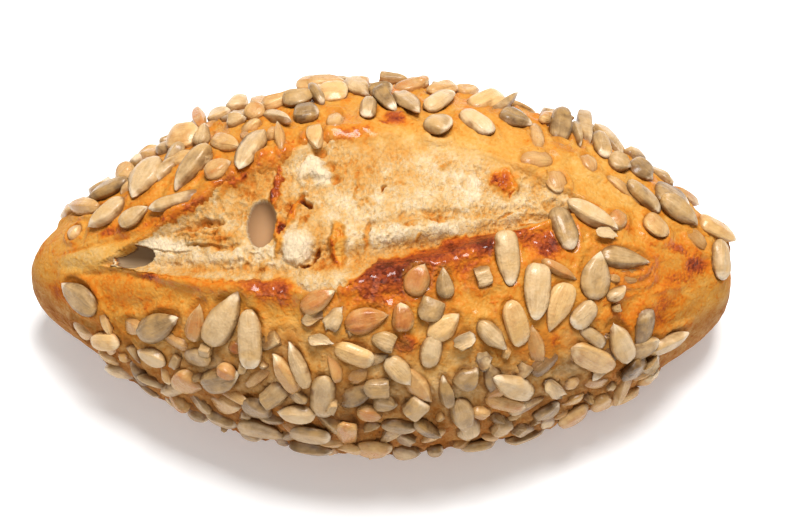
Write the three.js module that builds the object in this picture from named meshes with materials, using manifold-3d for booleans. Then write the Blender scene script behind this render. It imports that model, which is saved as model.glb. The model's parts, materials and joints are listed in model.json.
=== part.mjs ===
// A spelt bread roll of lemon shape, scored once along its top, where the oven tore it open, and rolled in
// sunflower kernels. Millimetres, +Z up, +X along the roll, -Y its front, and the tray's plane at Z = 0.
import * as THREE from "three";
import { mergeVertices } from "three/addons/utils/BufferGeometryUtils.js";
import Module from "manifold-3d";

const wasm = await Module();
wasm.setup();

// Driving dimensions
const LENGTH = 141; // nose to nose
const WIDTH = 75; // the dough at its widest, without the kernels
const HEIGHT = 52; // the dough's crest above the tray
const GIRTH_HEIGHT = 20; // where the roll is widest, above the tray
const SAG = 5; // how far the dough would hang below the tray if nothing pressed it flat
const NOSE_DROP = 3.4; // how far the noses hang below the girth's height
const KERNEL_LENGTH = 10.2;
const KERNEL_WIDTH = 5.2;
const KERNEL_THICKNESS = 3.2;
const KERNEL_TAPER = 0.3; // how much its tip's half is drawn in

// How the roll tapers to its left and right nose: less reach gives a blunter nose, and more power gives a
// straighter flank.
const PLAN_TAPER = { left: { reach: 0.95, power: 1 }, right: { reach: 0.925, power: 0.92 } };
const CREST_TAPER = { left: { reach: 0.945, power: 0.72 }, right: { reach: 0.92, power: 0.7 } };
const BASE_TAPER = { left: { reach: 0.96, power: 0.46 }, right: { reach: 0.94, power: 0.44 } };
const NOSE_ROUNDING = 60;
const TOP_SQUARENESS = 2.15; // 2 is an ellipse, more is squarer
const BASE_SQUARENESS = 2.4;

const rad = THREE.MathUtils.degToRad;

function taperShare(x, taper) {
  const { reach, power } = x < 0 ? taper.left : taper.right;
  const s = Math.min(Math.abs(x) / (LENGTH / 2), 1);
  return (1 - (reach * s) ** 2) ** power * Math.sqrt(Math.max(1 - s ** NOSE_ROUNDING, 0));
}

// A point of the dough as moulded. The girth angle is 0 at the front, 90 on the crest and 180 at the back.
function mouldedPoint(x, girth) {
  const across = Math.cos(rad(girth));
  const up = Math.sin(rad(girth));
  const power = 2 / (up >= 0 ? TOP_SQUARENESS : BASE_SQUARENESS);
  const rise =
    up >= 0
      ? (HEIGHT - GIRTH_HEIGHT) * taperShare(x, CREST_TAPER)
      : (GIRTH_HEIGHT + SAG) * taperShare(x, BASE_TAPER);
  return new THREE.Vector3(
    x,
    -(WIDTH / 2) * taperShare(x, PLAN_TAPER) * Math.sign(across) * Math.abs(across) ** power,
    GIRTH_HEIGHT - NOSE_DROP * (x / (LENGTH / 2)) ** 2 + rise * Math.sign(up) * Math.abs(up) ** power,
  );
}

// The dough's own directions at a point: along the roll, round it towards the back, and outwards.
function directionsAt(x, girth) {
  const step = 0.4;
  const turn = 0.5;
  const inner = THREE.MathUtils.clamp(x, 2 * step - LENGTH / 2, LENGTH / 2 - 2 * step);
  const along = mouldedPoint(inner + step, girth).sub(mouldedPoint(inner - step, girth)).normalize();
  const round = mouldedPoint(inner, girth + turn).sub(mouldedPoint(inner, girth - turn)).normalize();
  const outward = new THREE.Vector3().crossVectors(along, round).normalize();
  return { along, round, outward };
}

// The tear along the top lies between two lips. Each lip's girth angle is a parabola over the length, and
// they meet at both ends of the tear.
const FRONT_LIP = { turn: 60.5, at: -26, bend: 0.0065, height: 1.7 };
const BACK_LIP = { turn: 107.5, at: 3, bend: -0.012, height: 1.2 };
const LIP_BREADTH = 0.22; // as a share of half the opening
const LIP_SET_BACK = 1.15; // a lip's ridge stands this far out, where 1 is the tear's edge
const FULL_OPENING = 24; // in degrees: where the tear is narrower, its relief fades out
const TEAR_DEPTH = 1.8;
const CREVICE = { side: -0.7, breadth: 0.2, depth: 1.8 }; // it runs inside the front lip

function lipGirth(lip, x) {
  return lip.turn + lip.bend * (x - lip.at) ** 2;
}

// How far the tear raises or sinks the dough. A point's side is -1 on the front lip and 1 on the back one.
function tearRelief(x, girth) {
  const front = lipGirth(FRONT_LIP, x);
  const back = lipGirth(BACK_LIP, x);
  const opening = back - front;
  if (opening <= 0) return 0;
  const side = (2 * girth - front - back) / opening;
  const hump = (middle, breadth) => Math.exp(-(((side - middle) / breadth) ** 2));
  const crevice = CREVICE.depth * hump(CREVICE.side, CREVICE.breadth);
  const hollow = TEAR_DEPTH * Math.max(1 - side ** 4, 0) + crevice;
  const backLipShare = THREE.MathUtils.smoothstep(-x, -8, 14); // the back lip fades out to the right
  const lips =
    FRONT_LIP.height * hump(-LIP_SET_BACK, LIP_BREADTH) +
    BACK_LIP.height * backLipShare * hump(LIP_SET_BACK, LIP_BREADTH);
  return Math.min(opening / FULL_OPENING, 1) * (lips - hollow);
}

// A point of the baked dough, torn open along its top
function bakedPoint(x, girth) {
  return mouldedPoint(x, girth).addScaledVector(directionsAt(x, girth).outward, tearRelief(x, girth));
}

// A closed geometry as a solid, its shared vertices merged
function solidOf(geometry) {
  geometry.deleteAttribute("normal");
  geometry.deleteAttribute("uv");
  const merged = mergeVertices(geometry, 1e-4);
  return new wasm.Manifold(
    new wasm.Mesh({
      numProp: 3,
      vertProperties: new Float32Array(merged.attributes.position.array),
      triVerts: new Uint32Array(merged.index.array),
    }),
  );
}

function geometryOf(solid) {
  const { numVert, numProp, vertProperties, triVerts } = solid.getMesh();
  const positions = new Float32Array(numVert * 3);
  for (let i = 0; i < numVert; i++)
    positions.set(vertProperties.subarray(i * numProp, i * numProp + 3), i * 3);
  return new THREE.BufferGeometry()
    .setAttribute("position", new THREE.BufferAttribute(positions, 3))
    .setIndex(new THREE.BufferAttribute(new Uint32Array(triVerts), 1));
}

// The dough is a sphere's grid laid out over the roll, with its poles at the noses. Its lines are crowded on
// the crest, where the tear is, and a little at the noses.
const GIRTH_STEPS = 34;
const LENGTH_STEPS = 32;
const CREST_CROWDING = 0.55;
const NOSE_CROWDING = 0.65;

function makeDough() {
  const geometry = new THREE.SphereGeometry(1, GIRTH_STEPS, LENGTH_STEPS);
  const { position, uv } = geometry.attributes;
  for (let i = 0; i < position.count; i++) {
    const t = 2 * uv.getY(i) - 1;
    const share = NOSE_CROWDING * Math.sin((Math.PI / 2) * t) + (1 - NOSE_CROWDING) * t;
    const turn = 2 * Math.PI * (uv.getX(i) - 0.5);
    const girth = 90 - THREE.MathUtils.radToDeg(turn - CREST_CROWDING * Math.sin(turn));
    const point = bakedPoint((LENGTH / 2) * share, girth);
    position.setXYZ(i, point.x, point.y, point.z);
  }
  return solidOf(geometry);
}

// The tray pressed the underside flat: what hangs below its plane is cut off.
function pressFlat(solid) {
  const room = new THREE.BoxGeometry(2 * LENGTH, 2 * LENGTH, 2 * LENGTH).translate(0, 0, LENGTH);
  return solid.intersect(solidOf(room));
}

// Gas bubbles that the tear laid open, each centred on the crumb's surface
const GAS_BUBBLES = [
  { x: -23.5, girth: 82, radii: [3.1, 5.2, 4.2] },
  { x: -48.4, girth: 70.5, radii: [4.5, 2.3, 2.6] },
];

function openBubble(dough, { x, girth, radii }) {
  const bowl = new THREE.SphereGeometry(1, 10, 8).scale(...radii);
  const { along, round, outward } = directionsAt(x, girth);
  bowl.applyMatrix4(new THREE.Matrix4().makeBasis(along, round, outward).setPosition(bakedPoint(x, girth)));
  return dough.subtract(solidOf(bowl));
}

// One kernel about its own middle: its tip towards +X, its flat sides up and down. A sphere's grid is
// stretched to its sizes and drawn in towards the tip.
const KERNEL_SIDES = 6;
const KERNEL_RINGS = 3;
const WIDEST_RING = Math.sin(Math.PI / KERNEL_RINGS); // of the sphere's two rings between its poles

function makeKernel(length) {
  const size = length / KERNEL_LENGTH;
  const slim = (1 + size) / 2 / WIDEST_RING; // a short kernel is a broken one, so it stays nearly as wide
  const geometry = new THREE.SphereGeometry(1, KERNEL_SIDES, KERNEL_RINGS).rotateZ(-Math.PI / 2);
  const position = geometry.attributes.position;
  for (let i = 0; i < position.count; i++) {
    const along = position.getX(i);
    const fullness = 1 - KERNEL_TAPER * Math.max(along, 0);
    position.setXYZ(
      i,
      (along * length) / 2,
      (position.getY(i) * fullness * KERNEL_WIDTH * slim) / 2,
      (position.getZ(i) * fullness * KERNEL_THICKNESS * slim) / 2,
    );
  }
  return geometry;
}

// A kernel pressed into the dough: heading 0 points its tip along the roll, 90 round it towards the back.
function placeKernel({ x, girth, heading, length, pitch, roll, lift }) {
  const { along, round, outward } = directionsAt(x, girth);
  const place = new THREE.Matrix4()
    .makeBasis(along, round, outward)
    .setPosition(bakedPoint(x, girth).addScaledVector(outward, lift));
  const turn = new THREE.Matrix4().makeRotationFromEuler(
    new THREE.Euler(rad(roll), rad(-pitch), rad(heading), "ZYX"),
  );
  return solidOf(makeKernel(length).applyMatrix4(turn).applyMatrix4(place));
}

// The large kernels that catch the eye, placed by hand. Each has the x and the girth angle of its blunt end,
// and then those of its tip.
const PLACED_KERNELS = [
  [-50.5, 108, -57.5, 95],
  [-43.8, 128, -49.2, 104.5],
  [-33, 118, -41, 100],
  [-28.5, 106, -35.5, 100.5],
  [-22.8, 117, -27.8, 99.5],
  [-34, 97, -45.2, 90.5],
  [-33.3, 120, -27, 113.5],
  [-23.3, 134, -17.7, 118.5],
  [-11.8, 134, -5.5, 138],
  [2.6, 140, 8, 123],
  [7.6, 118.5, 14.2, 113.5],
  [15.7, 125, 22.1, 114],
  [22.3, 133, 31, 127],
  [33, 140, 38.3, 126],
  [55.5, 128, 61.8, 99],
  [34.1, 89.5, 36.9, 72],
  [46.3, 79.5, 36, 90],
  [24.8, 77.5, 25.2, 60.5],
  [30.3, 67, 29.3, 46.5],
  [36, 60.5, 31.3, 43.5],
  [25.3, 54, 27.3, 38.5],
  [40.3, 51.5, 42, 74],
  [42.5, 73, 53, 64.5],
  [36, 42, 42.3, 50],
  [46, 16, 36.8, 33],
  [49.3, 12, 44.2, 36],
  [29.5, 15.5, 20.8, 28.5],
  [-36.3, 33, -35, 51],
  [-32.7, 35, -26.8, 56],
  [-25.2, 50, -23.8, 30],
  [-47.6, 31, -39.2, 40],
  [-55.8, 37, -63.8, 46.5],
  [-19.3, 34, -15.3, 20],
  [1.2, 52, -7.6, 46.5],
  [-1.8, 45, 5.6, 38],
  [0.4, 36, 6.4, 27],
  [-9.3, 39.5, -1.4, 35.5],
  [8.2, 42.5, 15.6, 49],
  [19, 48, 24.6, 38.5],
  [8.8, 66, 5.8, 57],
  [17, 60.5, 22.6, 63],
  [-10.5, 26, -11.7, 10],
];
const PLACED_LIFT = 0.6; // how far a kernel's middle stays above the dough

function kernelBetween([tailX, tailGirth, tipX, tipGirth]) {
  const x = (tailX + tipX) / 2;
  const girth = (tailGirth + tipGirth) / 2;
  const { along, round } = directionsAt(x, girth);
  const reach = mouldedPoint(tipX, tipGirth).sub(mouldedPoint(tailX, tailGirth));
  const heading = THREE.MathUtils.radToDeg(Math.atan2(reach.dot(round), reach.dot(along)));
  return { x, girth, heading, length: reach.length(), pitch: 0, roll: 0, lift: PLACED_LIFT };
}

// Patches where the dough stays bare, each an ellipse in x and girth angle
const BARE_PATCHES = [
  { x: -52, girth: 66, halfLength: 17, halfTurn: 15 },
  { x: -50, girth: 82, halfLength: 15, halfTurn: 9 },
  { x: -46, girth: 48, halfLength: 12, halfTurn: 10 },
  { x: -52, girth: 24, halfLength: 5, halfTurn: 14 },
  { x: -34, girth: 56, halfLength: 12, halfTurn: 6 },
  { x: -17, girth: 45, halfLength: 6, halfTurn: 7 },
  { x: -2, girth: 112, halfLength: 12, halfTurn: 6 },
  { x: 23, girth: 104, halfLength: 10, halfTurn: 7 },
  { x: 42, girth: 100, halfLength: 11, halfTurn: 9 },
  { x: 58, girth: 62, halfLength: 9, halfTurn: 26 },
  { x: 57, girth: 34, halfLength: 8, halfTurn: 20 },
  { x: 31, girth: 33, halfLength: 8, halfTurn: 8 },
];
const BARE_NOSE = 7; // the length of each nose without kernels
const BARE_LIP = 4; // and how far past its lips the tear keeps them away, in degrees
const LOWEST_KERNEL = 5; // above the tray

function isBare(x, girth) {
  const onNose = LENGTH / 2 - Math.abs(x) < BARE_NOSE;
  const inTear = girth > lipGirth(FRONT_LIP, x) - BARE_LIP && girth < lipGirth(BACK_LIP, x) + BARE_LIP;
  const inPatch = ({ x: px, girth: pg, halfLength, halfTurn }) =>
    Math.hypot((x - px) / halfLength, (girth - pg) / halfTurn) < 1;
  return onNose || inTear || mouldedPoint(x, girth).z < LOWEST_KERNEL || BARE_PATCHES.some(inPatch);
}

// Scatters kernels over the rest by a rule: a seeded draw is kept where it clears all that lie there already.
const SEED = 4441;
const DRAWS = 6000;
const SPACING = 7.6; // between the middles of two kernels

function makeDraw(seed) {
  let state = seed;
  return (low, high) => {
    state = (state * 48271) % 2147483647;
    return low + ((high - low) * state) / 2147483647;
  };
}

function scatterKernels(placed) {
  const draw = makeDraw(SEED);
  const kernels = [...placed];
  const middles = placed.map(({ x, girth }) => mouldedPoint(x, girth));
  for (let i = 0; i < DRAWS; i++) {
    const kernel = {
      x: draw(-LENGTH / 2, LENGTH / 2),
      girth: draw(-40, 220),
      heading: draw(0, 360),
      length: KERNEL_LENGTH * (1.1 - 0.5 * draw(0, 1) ** 2),
      pitch: draw(-8, 8),
      roll: draw(-14, 14),
      lift: draw(0.2, 0.9),
    };
    const middle = mouldedPoint(kernel.x, kernel.girth);
    if (isBare(kernel.x, kernel.girth)) continue;
    if (middles.some((other) => other.distanceTo(middle) < SPACING)) continue;
    middles.push(middle);
    kernels.push(kernel);
  }
  return kernels;
}

// Joins the kernels to the dough as one solid: the largest body is kept, and gaps that the joining sealed are
// filled, because their inner skins are left behind.
function fuse(dough, kernels) {
  const joined = kernels.reduce((whole, kernel) => whole.add(placeKernel(kernel)), dough);
  return joined.decompose().reduce((best, body) => (body.volume() > best.volume() ? body : best));
}

const dough = GAS_BUBBLES.reduce(openBubble, pressFlat(makeDough()));
const kernels = scatterKernels(PLACED_KERNELS.map(kernelBetween));
const rollMesh = new THREE.Mesh(
  geometryOf(fuse(dough, kernels)),
  new THREE.MeshStandardMaterial({ color: 0xd39a55, roughness: 0.6, metalness: 0 }),
);
rollMesh.name = "roll";

const roll = new THREE.Group();
roll.add(rollMesh);
export default roll;
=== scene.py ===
import json
import math

import bpy
import numpy as np
from mathutils import Euler, Matrix, Vector
from mathutils.bvhtree import BVHTree

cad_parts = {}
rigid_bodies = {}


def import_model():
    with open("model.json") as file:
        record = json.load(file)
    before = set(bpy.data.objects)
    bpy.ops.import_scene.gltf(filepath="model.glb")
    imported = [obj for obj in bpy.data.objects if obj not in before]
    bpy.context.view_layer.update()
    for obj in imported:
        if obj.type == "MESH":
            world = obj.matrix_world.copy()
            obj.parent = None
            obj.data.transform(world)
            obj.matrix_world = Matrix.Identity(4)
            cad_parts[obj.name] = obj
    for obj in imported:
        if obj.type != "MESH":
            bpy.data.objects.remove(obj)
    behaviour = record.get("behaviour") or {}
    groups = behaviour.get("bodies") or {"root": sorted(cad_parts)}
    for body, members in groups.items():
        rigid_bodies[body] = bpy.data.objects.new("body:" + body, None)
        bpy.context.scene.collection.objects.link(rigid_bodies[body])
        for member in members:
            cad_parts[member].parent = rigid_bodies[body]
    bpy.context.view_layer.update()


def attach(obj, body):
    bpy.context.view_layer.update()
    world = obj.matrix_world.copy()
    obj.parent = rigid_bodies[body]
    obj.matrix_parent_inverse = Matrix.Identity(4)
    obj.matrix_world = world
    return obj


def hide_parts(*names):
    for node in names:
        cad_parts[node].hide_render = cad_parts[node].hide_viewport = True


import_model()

# The camera
# It looks down on the roll's front from the distance of a long studio lens, as the photo does.
CAMERA_TARGET = Vector((0.0037, 0, 0.0232))
CAMERA_DISTANCE = 0.6
CAMERA_ELEVATION = math.radians(60)
CAMERA_LENS = 135


def new_object(name, data):
    made = bpy.data.objects.new(name, data)
    bpy.context.scene.collection.objects.link(made)
    return made


camera = new_object("camera", bpy.data.cameras.new("camera"))
bpy.context.scene.camera = camera
camera.data.lens = CAMERA_LENS
towards_camera = Vector((0, -math.cos(CAMERA_ELEVATION), math.sin(CAMERA_ELEVATION)))
camera.location = CAMERA_TARGET + CAMERA_DISTANCE * towards_camera
camera.rotation_euler = towards_camera.to_track_quat("Z", "Y").to_euler()

# The moulded dough
# Spelt dough, rolled to a lemon shape with two blunt noses and set on a tray, which leaves its underside
# flat. Each taper has its reach and its power towards the left and the right nose. Sizes are in millimetres
# here, and become metres when a mesh is made.
MM = 0.001
LENGTH = 141
WIDTH = 75
HEIGHT = 52
GIRTH_HEIGHT = 20
SAG = 5
NOSE_DROP = 3.4
PLAN_TAPER = {"left": (0.95, 1), "right": (0.925, 0.92)}
CREST_TAPER = {"left": (0.945, 0.72), "right": (0.92, 0.7)}
BASE_TAPER = {"left": (0.96, 0.46), "right": (0.94, 0.44)}
NOSE_ROUNDING = 60
TOP_SQUARENESS = 2.15
BASE_SQUARENESS = 2.4


def taper_share(x, taper):
    """1 in the middle of the roll, and 0 at its noses."""
    reach = np.where(x < 0, taper["left"][0], taper["right"][0])
    power = np.where(x < 0, taper["left"][1], taper["right"][1])
    outer = np.minimum(np.abs(x) / (LENGTH / 2), 1)
    return (1 - (reach * outer) ** 2) ** power * np.sqrt(np.maximum(1 - outer**NOSE_ROUNDING, 0))


def moulded_point(x, girth):
    """The girth angle is 0 at the roll's front, 90 on its crest and 180 at its back."""
    x, girth = np.broadcast_arrays(np.asarray(x, float), np.asarray(girth, float))
    across = np.cos(np.radians(girth))
    up = np.sin(np.radians(girth))
    power = 2 / np.where(up >= 0, TOP_SQUARENESS, BASE_SQUARENESS)
    crest = (HEIGHT - GIRTH_HEIGHT) * taper_share(x, CREST_TAPER)
    base = (GIRTH_HEIGHT + SAG) * taper_share(x, BASE_TAPER)
    y = -WIDTH / 2 * taper_share(x, PLAN_TAPER) * np.sign(across) * np.abs(across) ** power
    z = GIRTH_HEIGHT - NOSE_DROP * (x / (LENGTH / 2)) ** 2
    z = z + np.where(up >= 0, crest, base) * np.sign(up) * np.abs(up) ** power
    return np.stack([x, y, z], axis=-1)


def unit(vectors):
    return vectors / np.maximum(np.linalg.norm(vectors, axis=-1, keepdims=True), 1e-9)


def directions_at(x, girth):
    """Along the roll, round it towards the back, and outwards."""
    step = 0.4
    turn = 0.5
    inner = np.clip(x, 2 * step - LENGTH / 2, LENGTH / 2 - 2 * step)
    along = unit(moulded_point(inner + step, girth) - moulded_point(inner - step, girth))
    round_it = unit(moulded_point(inner, girth + turn) - moulded_point(inner, girth - turn))
    return along, round_it, unit(np.cross(along, round_it))


def outward_at(x, girth):
    return directions_at(x, girth)[2]


# The tear
# The oven split the scored top. Two lips stand along the split, and the crumb lies open between them.
FRONT_LIP = {"turn": 60.5, "at": -26, "bend": 0.0065, "height": 1.7}
BACK_LIP = {"turn": 107.5, "at": 3, "bend": -0.012, "height": 1.2}
LIP_BREADTH = 0.22
LIP_SET_BACK = 1.15
FULL_OPENING = 24
TEAR_DEPTH = 1.8
CREVICE = {"side": -0.7, "breadth": 0.2, "depth": 1.8}
GAS_BUBBLES = [
    {"x": -23.5, "girth": 82, "radii": (3.1, 5.2, 4.2)},
    {"x": -48.4, "girth": 70.5, "radii": (4.5, 2.3, 3.4)},
]


def soft_step(value, low, high):
    """0 below low, 1 above high, and smooth between them."""
    share = np.clip((value - low) / (high - low), 0, 1)
    return share * share * (3 - 2 * share)


def bell(value, middle, breadth, power=2):
    """1 at the middle, and fading out on both sides of it."""
    return np.exp(-(((value - middle) / breadth) ** power))


def lip_girth(lip, x):
    return lip["turn"] + lip["bend"] * (x - lip["at"]) ** 2


def tear_at(x, girth):
    """How many degrees wide the tear is there, and the point's side: -1 on the front lip, 1 on the back."""
    front = lip_girth(FRONT_LIP, x)
    back = lip_girth(BACK_LIP, x)
    opening = back - front
    return opening, (2 * girth - front - back) / np.maximum(opening, 0.5)


def tear_relief(x, girth):
    opening, side = tear_at(x, girth)
    crevice = CREVICE["depth"] * bell(side, CREVICE["side"], CREVICE["breadth"])
    hollow = TEAR_DEPTH * np.maximum(1 - side**4, 0) + crevice
    front_lip = FRONT_LIP["height"] * bell(side, -LIP_SET_BACK, LIP_BREADTH)
    back_lip = BACK_LIP["height"] * bell(side, LIP_SET_BACK, LIP_BREADTH)
    lips = front_lip + back_lip * soft_step(-x, -8, 14)
    return np.clip(opening / FULL_OPENING, 0, 1) * (lips - hollow)


def bubble_reach(points, bubble):
    """0 in the middle of a bubble and 1 at its rim."""
    x, girth = bubble["x"], bubble["girth"]
    middle = moulded_point(x, girth) + tear_relief(x, girth) * outward_at(x, girth)
    local = [(points - middle) @ axis for axis in directions_at(x, girth)[:2]]
    return (local[0] / bubble["radii"][0]) ** 2 + (local[1] / bubble["radii"][1]) ** 2


def bubble_relief(points):
    """Gas bubbles that the tear laid open, each a bowl in the crumb."""
    relief = np.zeros(points.shape[:-1])
    for bubble in GAS_BUBBLES:
        relief -= bubble["radii"][2] * np.maximum(1 - bubble_reach(points, bubble), 0) ** 0.5
    return relief


def baked_point(x, girth):
    return moulded_point(x, girth) + tear_relief(x, girth)[..., None] * outward_at(x, girth)


# The kernels' places
# The roll was wetted and rolled in hulled sunflower kernels before it was baked. Those that the photo shows
# clearly are placed one by one: the pixels of their blunt end and of their tip, and how many pixels broad
# they look. Those on the far side, in the heap at the back and between the others low in front are scattered.
PHOTO_WIDTH = 800
PHOTO_HEIGHT = 524
KERNEL_LENGTH = 10.2
KERNEL_WIDTH = 4.9
KERNEL_THICKNESS = 3.3
PLACED_KERNELS = {
    "sunk": [
        (245, 388, 268, 370, 16), (205, 405, 243, 408, 17), (350, 386, 368, 366, 22),
        (72, 329, 92, 338, 13), (104, 352, 118, 350, 12), (169, 158, 199, 152, 16),
        (622, 276, 652, 276, 19), (586, 383, 616, 385, 14), (690, 228, 712, 248, 15),
        (534, 121, 540, 148, 14), (520, 159, 556, 155, 17), (552, 143, 574, 148, 12),
        (583, 152, 598, 172, 13), (608, 174, 650, 204, 9), (66, 238, 78, 223, 10), (610, 277, 624, 281, 12),
        (563, 390, 582, 378, 12), (313, 121, 315, 145, 22), (333, 127, 334, 106, 19),
        (553, 168, 560, 190, 20),
    ],
    "amber": [(226, 345, 246, 355, 15), (145, 349, 165, 357, 8), (411, 296, 424, 263, 27)],
    "grey": [
        # The two thin ones low in front, (290, 444, ...) and (240, 430, ...), are grey because they lie in
        # shade: their tint is painted shade.
        (139, 336, 177, 318, 30), (203, 383, 238, 374, 25), (245, 398, 271, 417, 20),
        (189, 410, 208, 420, 13), (290, 444, 333, 450, 9), (446, 299, 442, 266, 21),
        (381, 424, 419, 430, 13), (416, 420, 441, 436, 11), (449, 408, 443, 376, 19),
        (427, 451, 444, 449, 9), (458, 388, 478, 368, 22), (541, 421, 559, 402, 20),
        (558, 206, 573, 250, 23), (621, 370, 650, 366, 20), (128, 181, 91, 198, 9),
        (293, 116, 318, 112, 19), (311, 92, 322, 103, 10), (369, 93, 392, 91, 10), (499, 112, 534, 125, 14),
        (556, 117, 562, 143, 21), (629, 163, 651, 181, 15), (656, 188, 688, 207, 18),
        (375, 401, 399, 405, 21), (377, 92, 396, 109, 15), (240, 430, 262, 440, 9),
    ],
    "tan": [
        (486, 400, 527, 407, 13), (299, 394, 273, 353, 18), (472, 410, 491, 414, 10),
        (176, 370, 200, 392, 18), (646, 216, 668, 235, 20), (699, 219, 732, 243, 12),
        (97, 205, 70, 208, 12), (136, 168, 117, 181, 10), (204, 177, 232, 163, 19),
        (281, 150, 279, 123, 11), (270, 139, 277, 127, 8), (262, 107, 298, 98, 8), (305, 88, 345, 80, 8),
        (395, 88, 428, 84, 8), (415, 84, 428, 88, 8), (428, 94, 458, 87, 8), (455, 92, 480, 90, 9),
        (538, 119, 549, 124, 8), (541, 117, 572, 119, 6), (247, 119, 264, 108, 12),
        (357, 408, 383, 416, 15), (357, 446, 392, 450, 13), (558, 422, 588, 407, 14),
        (590, 405, 612, 397, 10), (610, 402, 640, 391, 9), (297, 92, 330, 81, 9),
    ],
    "pale": [
        (590, 301, 600, 249, 31), (94, 311, 60, 284, 26), (122, 226, 150, 207, 15),
        (205, 189, 149, 212, 13), (212, 147, 170, 190, 14), (241, 419, 290, 441, 15),
        (288, 429, 331, 438, 17), (310, 388, 288, 342, 17), (459, 400, 466, 429, 25),
        (505, 441, 548, 431, 11), (461, 448, 496, 443, 12), (604, 254, 650, 262, 25),
        (659, 200, 699, 226, 15), (626, 184, 660, 209, 12), (720, 240, 722, 279, 14),
        (229, 124, 248, 120, 13), (199, 146, 211, 131, 11), (284, 104, 316, 97, 10),
        (370, 99, 367, 119, 17), (398, 90, 420, 115, 20), (492, 112, 515, 99, 12), (577, 117, 588, 147, 12),
        (572, 124, 583, 147, 8), (595, 126, 625, 158, 9), (593, 138, 606, 158, 11),
        (607, 158, 629, 170, 14), (392, 452, 420, 453, 15), (206, 414, 238, 427, 17),
        (424, 120, 450, 130, 24), (324, 376, 320, 419, 26),
    ],
    "toasted": [
        (192, 343, 200, 302, 20), (301, 310, 336, 291, 26), (343, 325, 389, 314, 29),
        (403, 331, 403, 303, 24), (609, 212, 625, 226, 18), (543, 260, 577, 279, 13),
        (349, 417, 345, 452, 24), (200, 130, 199, 109, 12), (219, 364, 239, 376, 12),
    ],
    "yellow": [
        (333, 347, 373, 362, 23), (428, 340, 460, 313, 24), (511, 300, 522, 345, 26),
        (566, 283, 547, 333, 25), (615, 370, 571, 347, 27), (94, 339, 118, 341, 15),
        (213, 137, 240, 148, 19), (471, 104, 500, 99, 13), (318, 95, 348, 92, 20), (171, 143, 199, 138, 14),
    ],
    "bright": [
        (212, 345, 239, 289, 33), (249, 310, 255, 367, 25), (316, 414, 279, 409, 14),
        (386, 358, 410, 384, 24), (505, 232, 510, 286, 25), (480, 322, 506, 348, 22),
        (532, 397, 491, 374, 25), (581, 327, 606, 346, 16), (541, 262, 534, 321, 27),
        (596, 303, 571, 326, 20), (565, 201, 618, 232, 21), (609, 300, 626, 286, 11),
        (629, 362, 612, 322, 26), (650, 353, 686, 332, 11), (159, 158, 130, 198, 21),
        (122, 197, 88, 229, 15), (207, 120, 232, 113, 22), (233, 112, 247, 100, 20),
        (264, 128, 238, 173, 21), (347, 82, 369, 95, 15), (428, 108, 452, 95, 14), (462, 111, 493, 134, 15),
        (165, 363, 139, 349, 15), (262, 110, 291, 123, 11),
    ],
    "broken": [
        (259, 403, 285, 388, 22), (373, 337, 407, 350, 24), (424, 321, 437, 292, 26),
        (405, 416, 426, 398, 22), (492, 427, 513, 427, 20), (363, 387, 397, 387, 18),
        (612, 309, 622, 304, 9), (326, 416, 338, 392, 12), (238, 366, 250, 371, 12),
        (197, 347, 217, 352, 12), (469, 281, 499, 273, 22),
    ],
    "flake": [
        (304, 322, 330, 313, 16), (328, 331, 344, 306, 19), (310, 338, 336, 342, 15),
        (453, 345, 474, 332, 18), (474, 362, 492, 356, 20), (545, 380, 560, 395, 16),
        (594, 236, 619, 237, 12), (641, 371, 659, 355, 10),
    ],
}
PLACED_LIFT = 0.9
SUNK_LIFT = -0.5
FLAKE_LIFT = 0.7
FILLING_LIFT = 0.1
BIT_LIFT = 0.3
SUNK_LOOKS = ("sunk", "amber")
PLACED_TILT = 6
LIFT_SPREAD = (-0.5, 0.3)
OVERLAP = 0.45
HEAPED_PER_PIXEL = 0.2
HIGHEST_HEAP = 2.2
LONGEST_KERNEL = 13
BROADEST_KERNEL = 6.8
LEAST_FACING = 0.35
RAISED_BACK = {"facing": 0.5, "left_of": -24, "left": 0.6, "right": 0.35, "ends": 56, "fade": 10}
BARE_NOSE = 7
LOWEST_KERNEL = 5
HIDDEN_FACING = {"front": -0.3, "back": -0.08}
FRONT_FLANK = {"highest": 44, "bend": 0.004, "rise": 8, "at": 9, "breadth": 13, "ends": 54, "facing": 0.2}
BACK_HEAP = {"x": -36, "half_length": 13, "from": 109, "to": 150}
CLIMB_WITHIN = 7.5
SEED = 4441
chance = np.random.default_rng(SEED)

eye = np.array(camera.location) / MM
view_up = np.array([0, math.sin(CAMERA_ELEVATION), math.cos(CAMERA_ELEVATION)])
focal_pixels = PHOTO_WIDTH * CAMERA_LENS / camera.data.sensor_width


def in_photo(points):
    """The pixels where points fall, and how far they are from the camera."""
    away = points - eye
    depth = -away @ np.array(towards_camera)
    across = PHOTO_WIDTH / 2 + focal_pixels * away[..., 0] / depth
    down = PHOTO_HEIGHT / 2 - focal_pixels * (away @ view_up) / depth
    return np.stack([across, down], axis=-1), depth


spot_x, spot_girth = (grid.ravel() for grid in np.meshgrid(np.arange(-70, 70, 0.5), np.arange(-40, 170, 0.5)))
spots = baked_point(spot_x, spot_girth) + PLACED_LIFT * outward_at(spot_x, spot_girth)
spot_pixels, spot_depths = in_photo(spots)


def under_pixel(pixel):
    """The x and the girth angle of the dough seen at a pixel or nearest to it, and how far off it is."""
    away = np.linalg.norm(spot_pixels - pixel, axis=1)
    near = away < max(away.min() + 0.5, 2)
    front = np.where(near, spot_depths, np.inf).min()
    best = np.argmin(np.where(near & (spot_depths < front + 3), away, np.inf))
    return spot_x[best], spot_girth[best], away[best]


def facing_camera(x, girth):
    return outward_at(x, girth) @ np.array(towards_camera)


def raised_at(x, girth):
    """How far kernels at the far edge turn up towards the camera."""
    if girth <= 90 or facing_camera(x, girth) >= RAISED_BACK["facing"]:
        return 0
    raised = RAISED_BACK["left" if x < RAISED_BACK["left_of"] else "right"]
    return raised * soft_step(RAISED_BACK["ends"] - abs(x), 0, RAISED_BACK["fade"])


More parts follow.
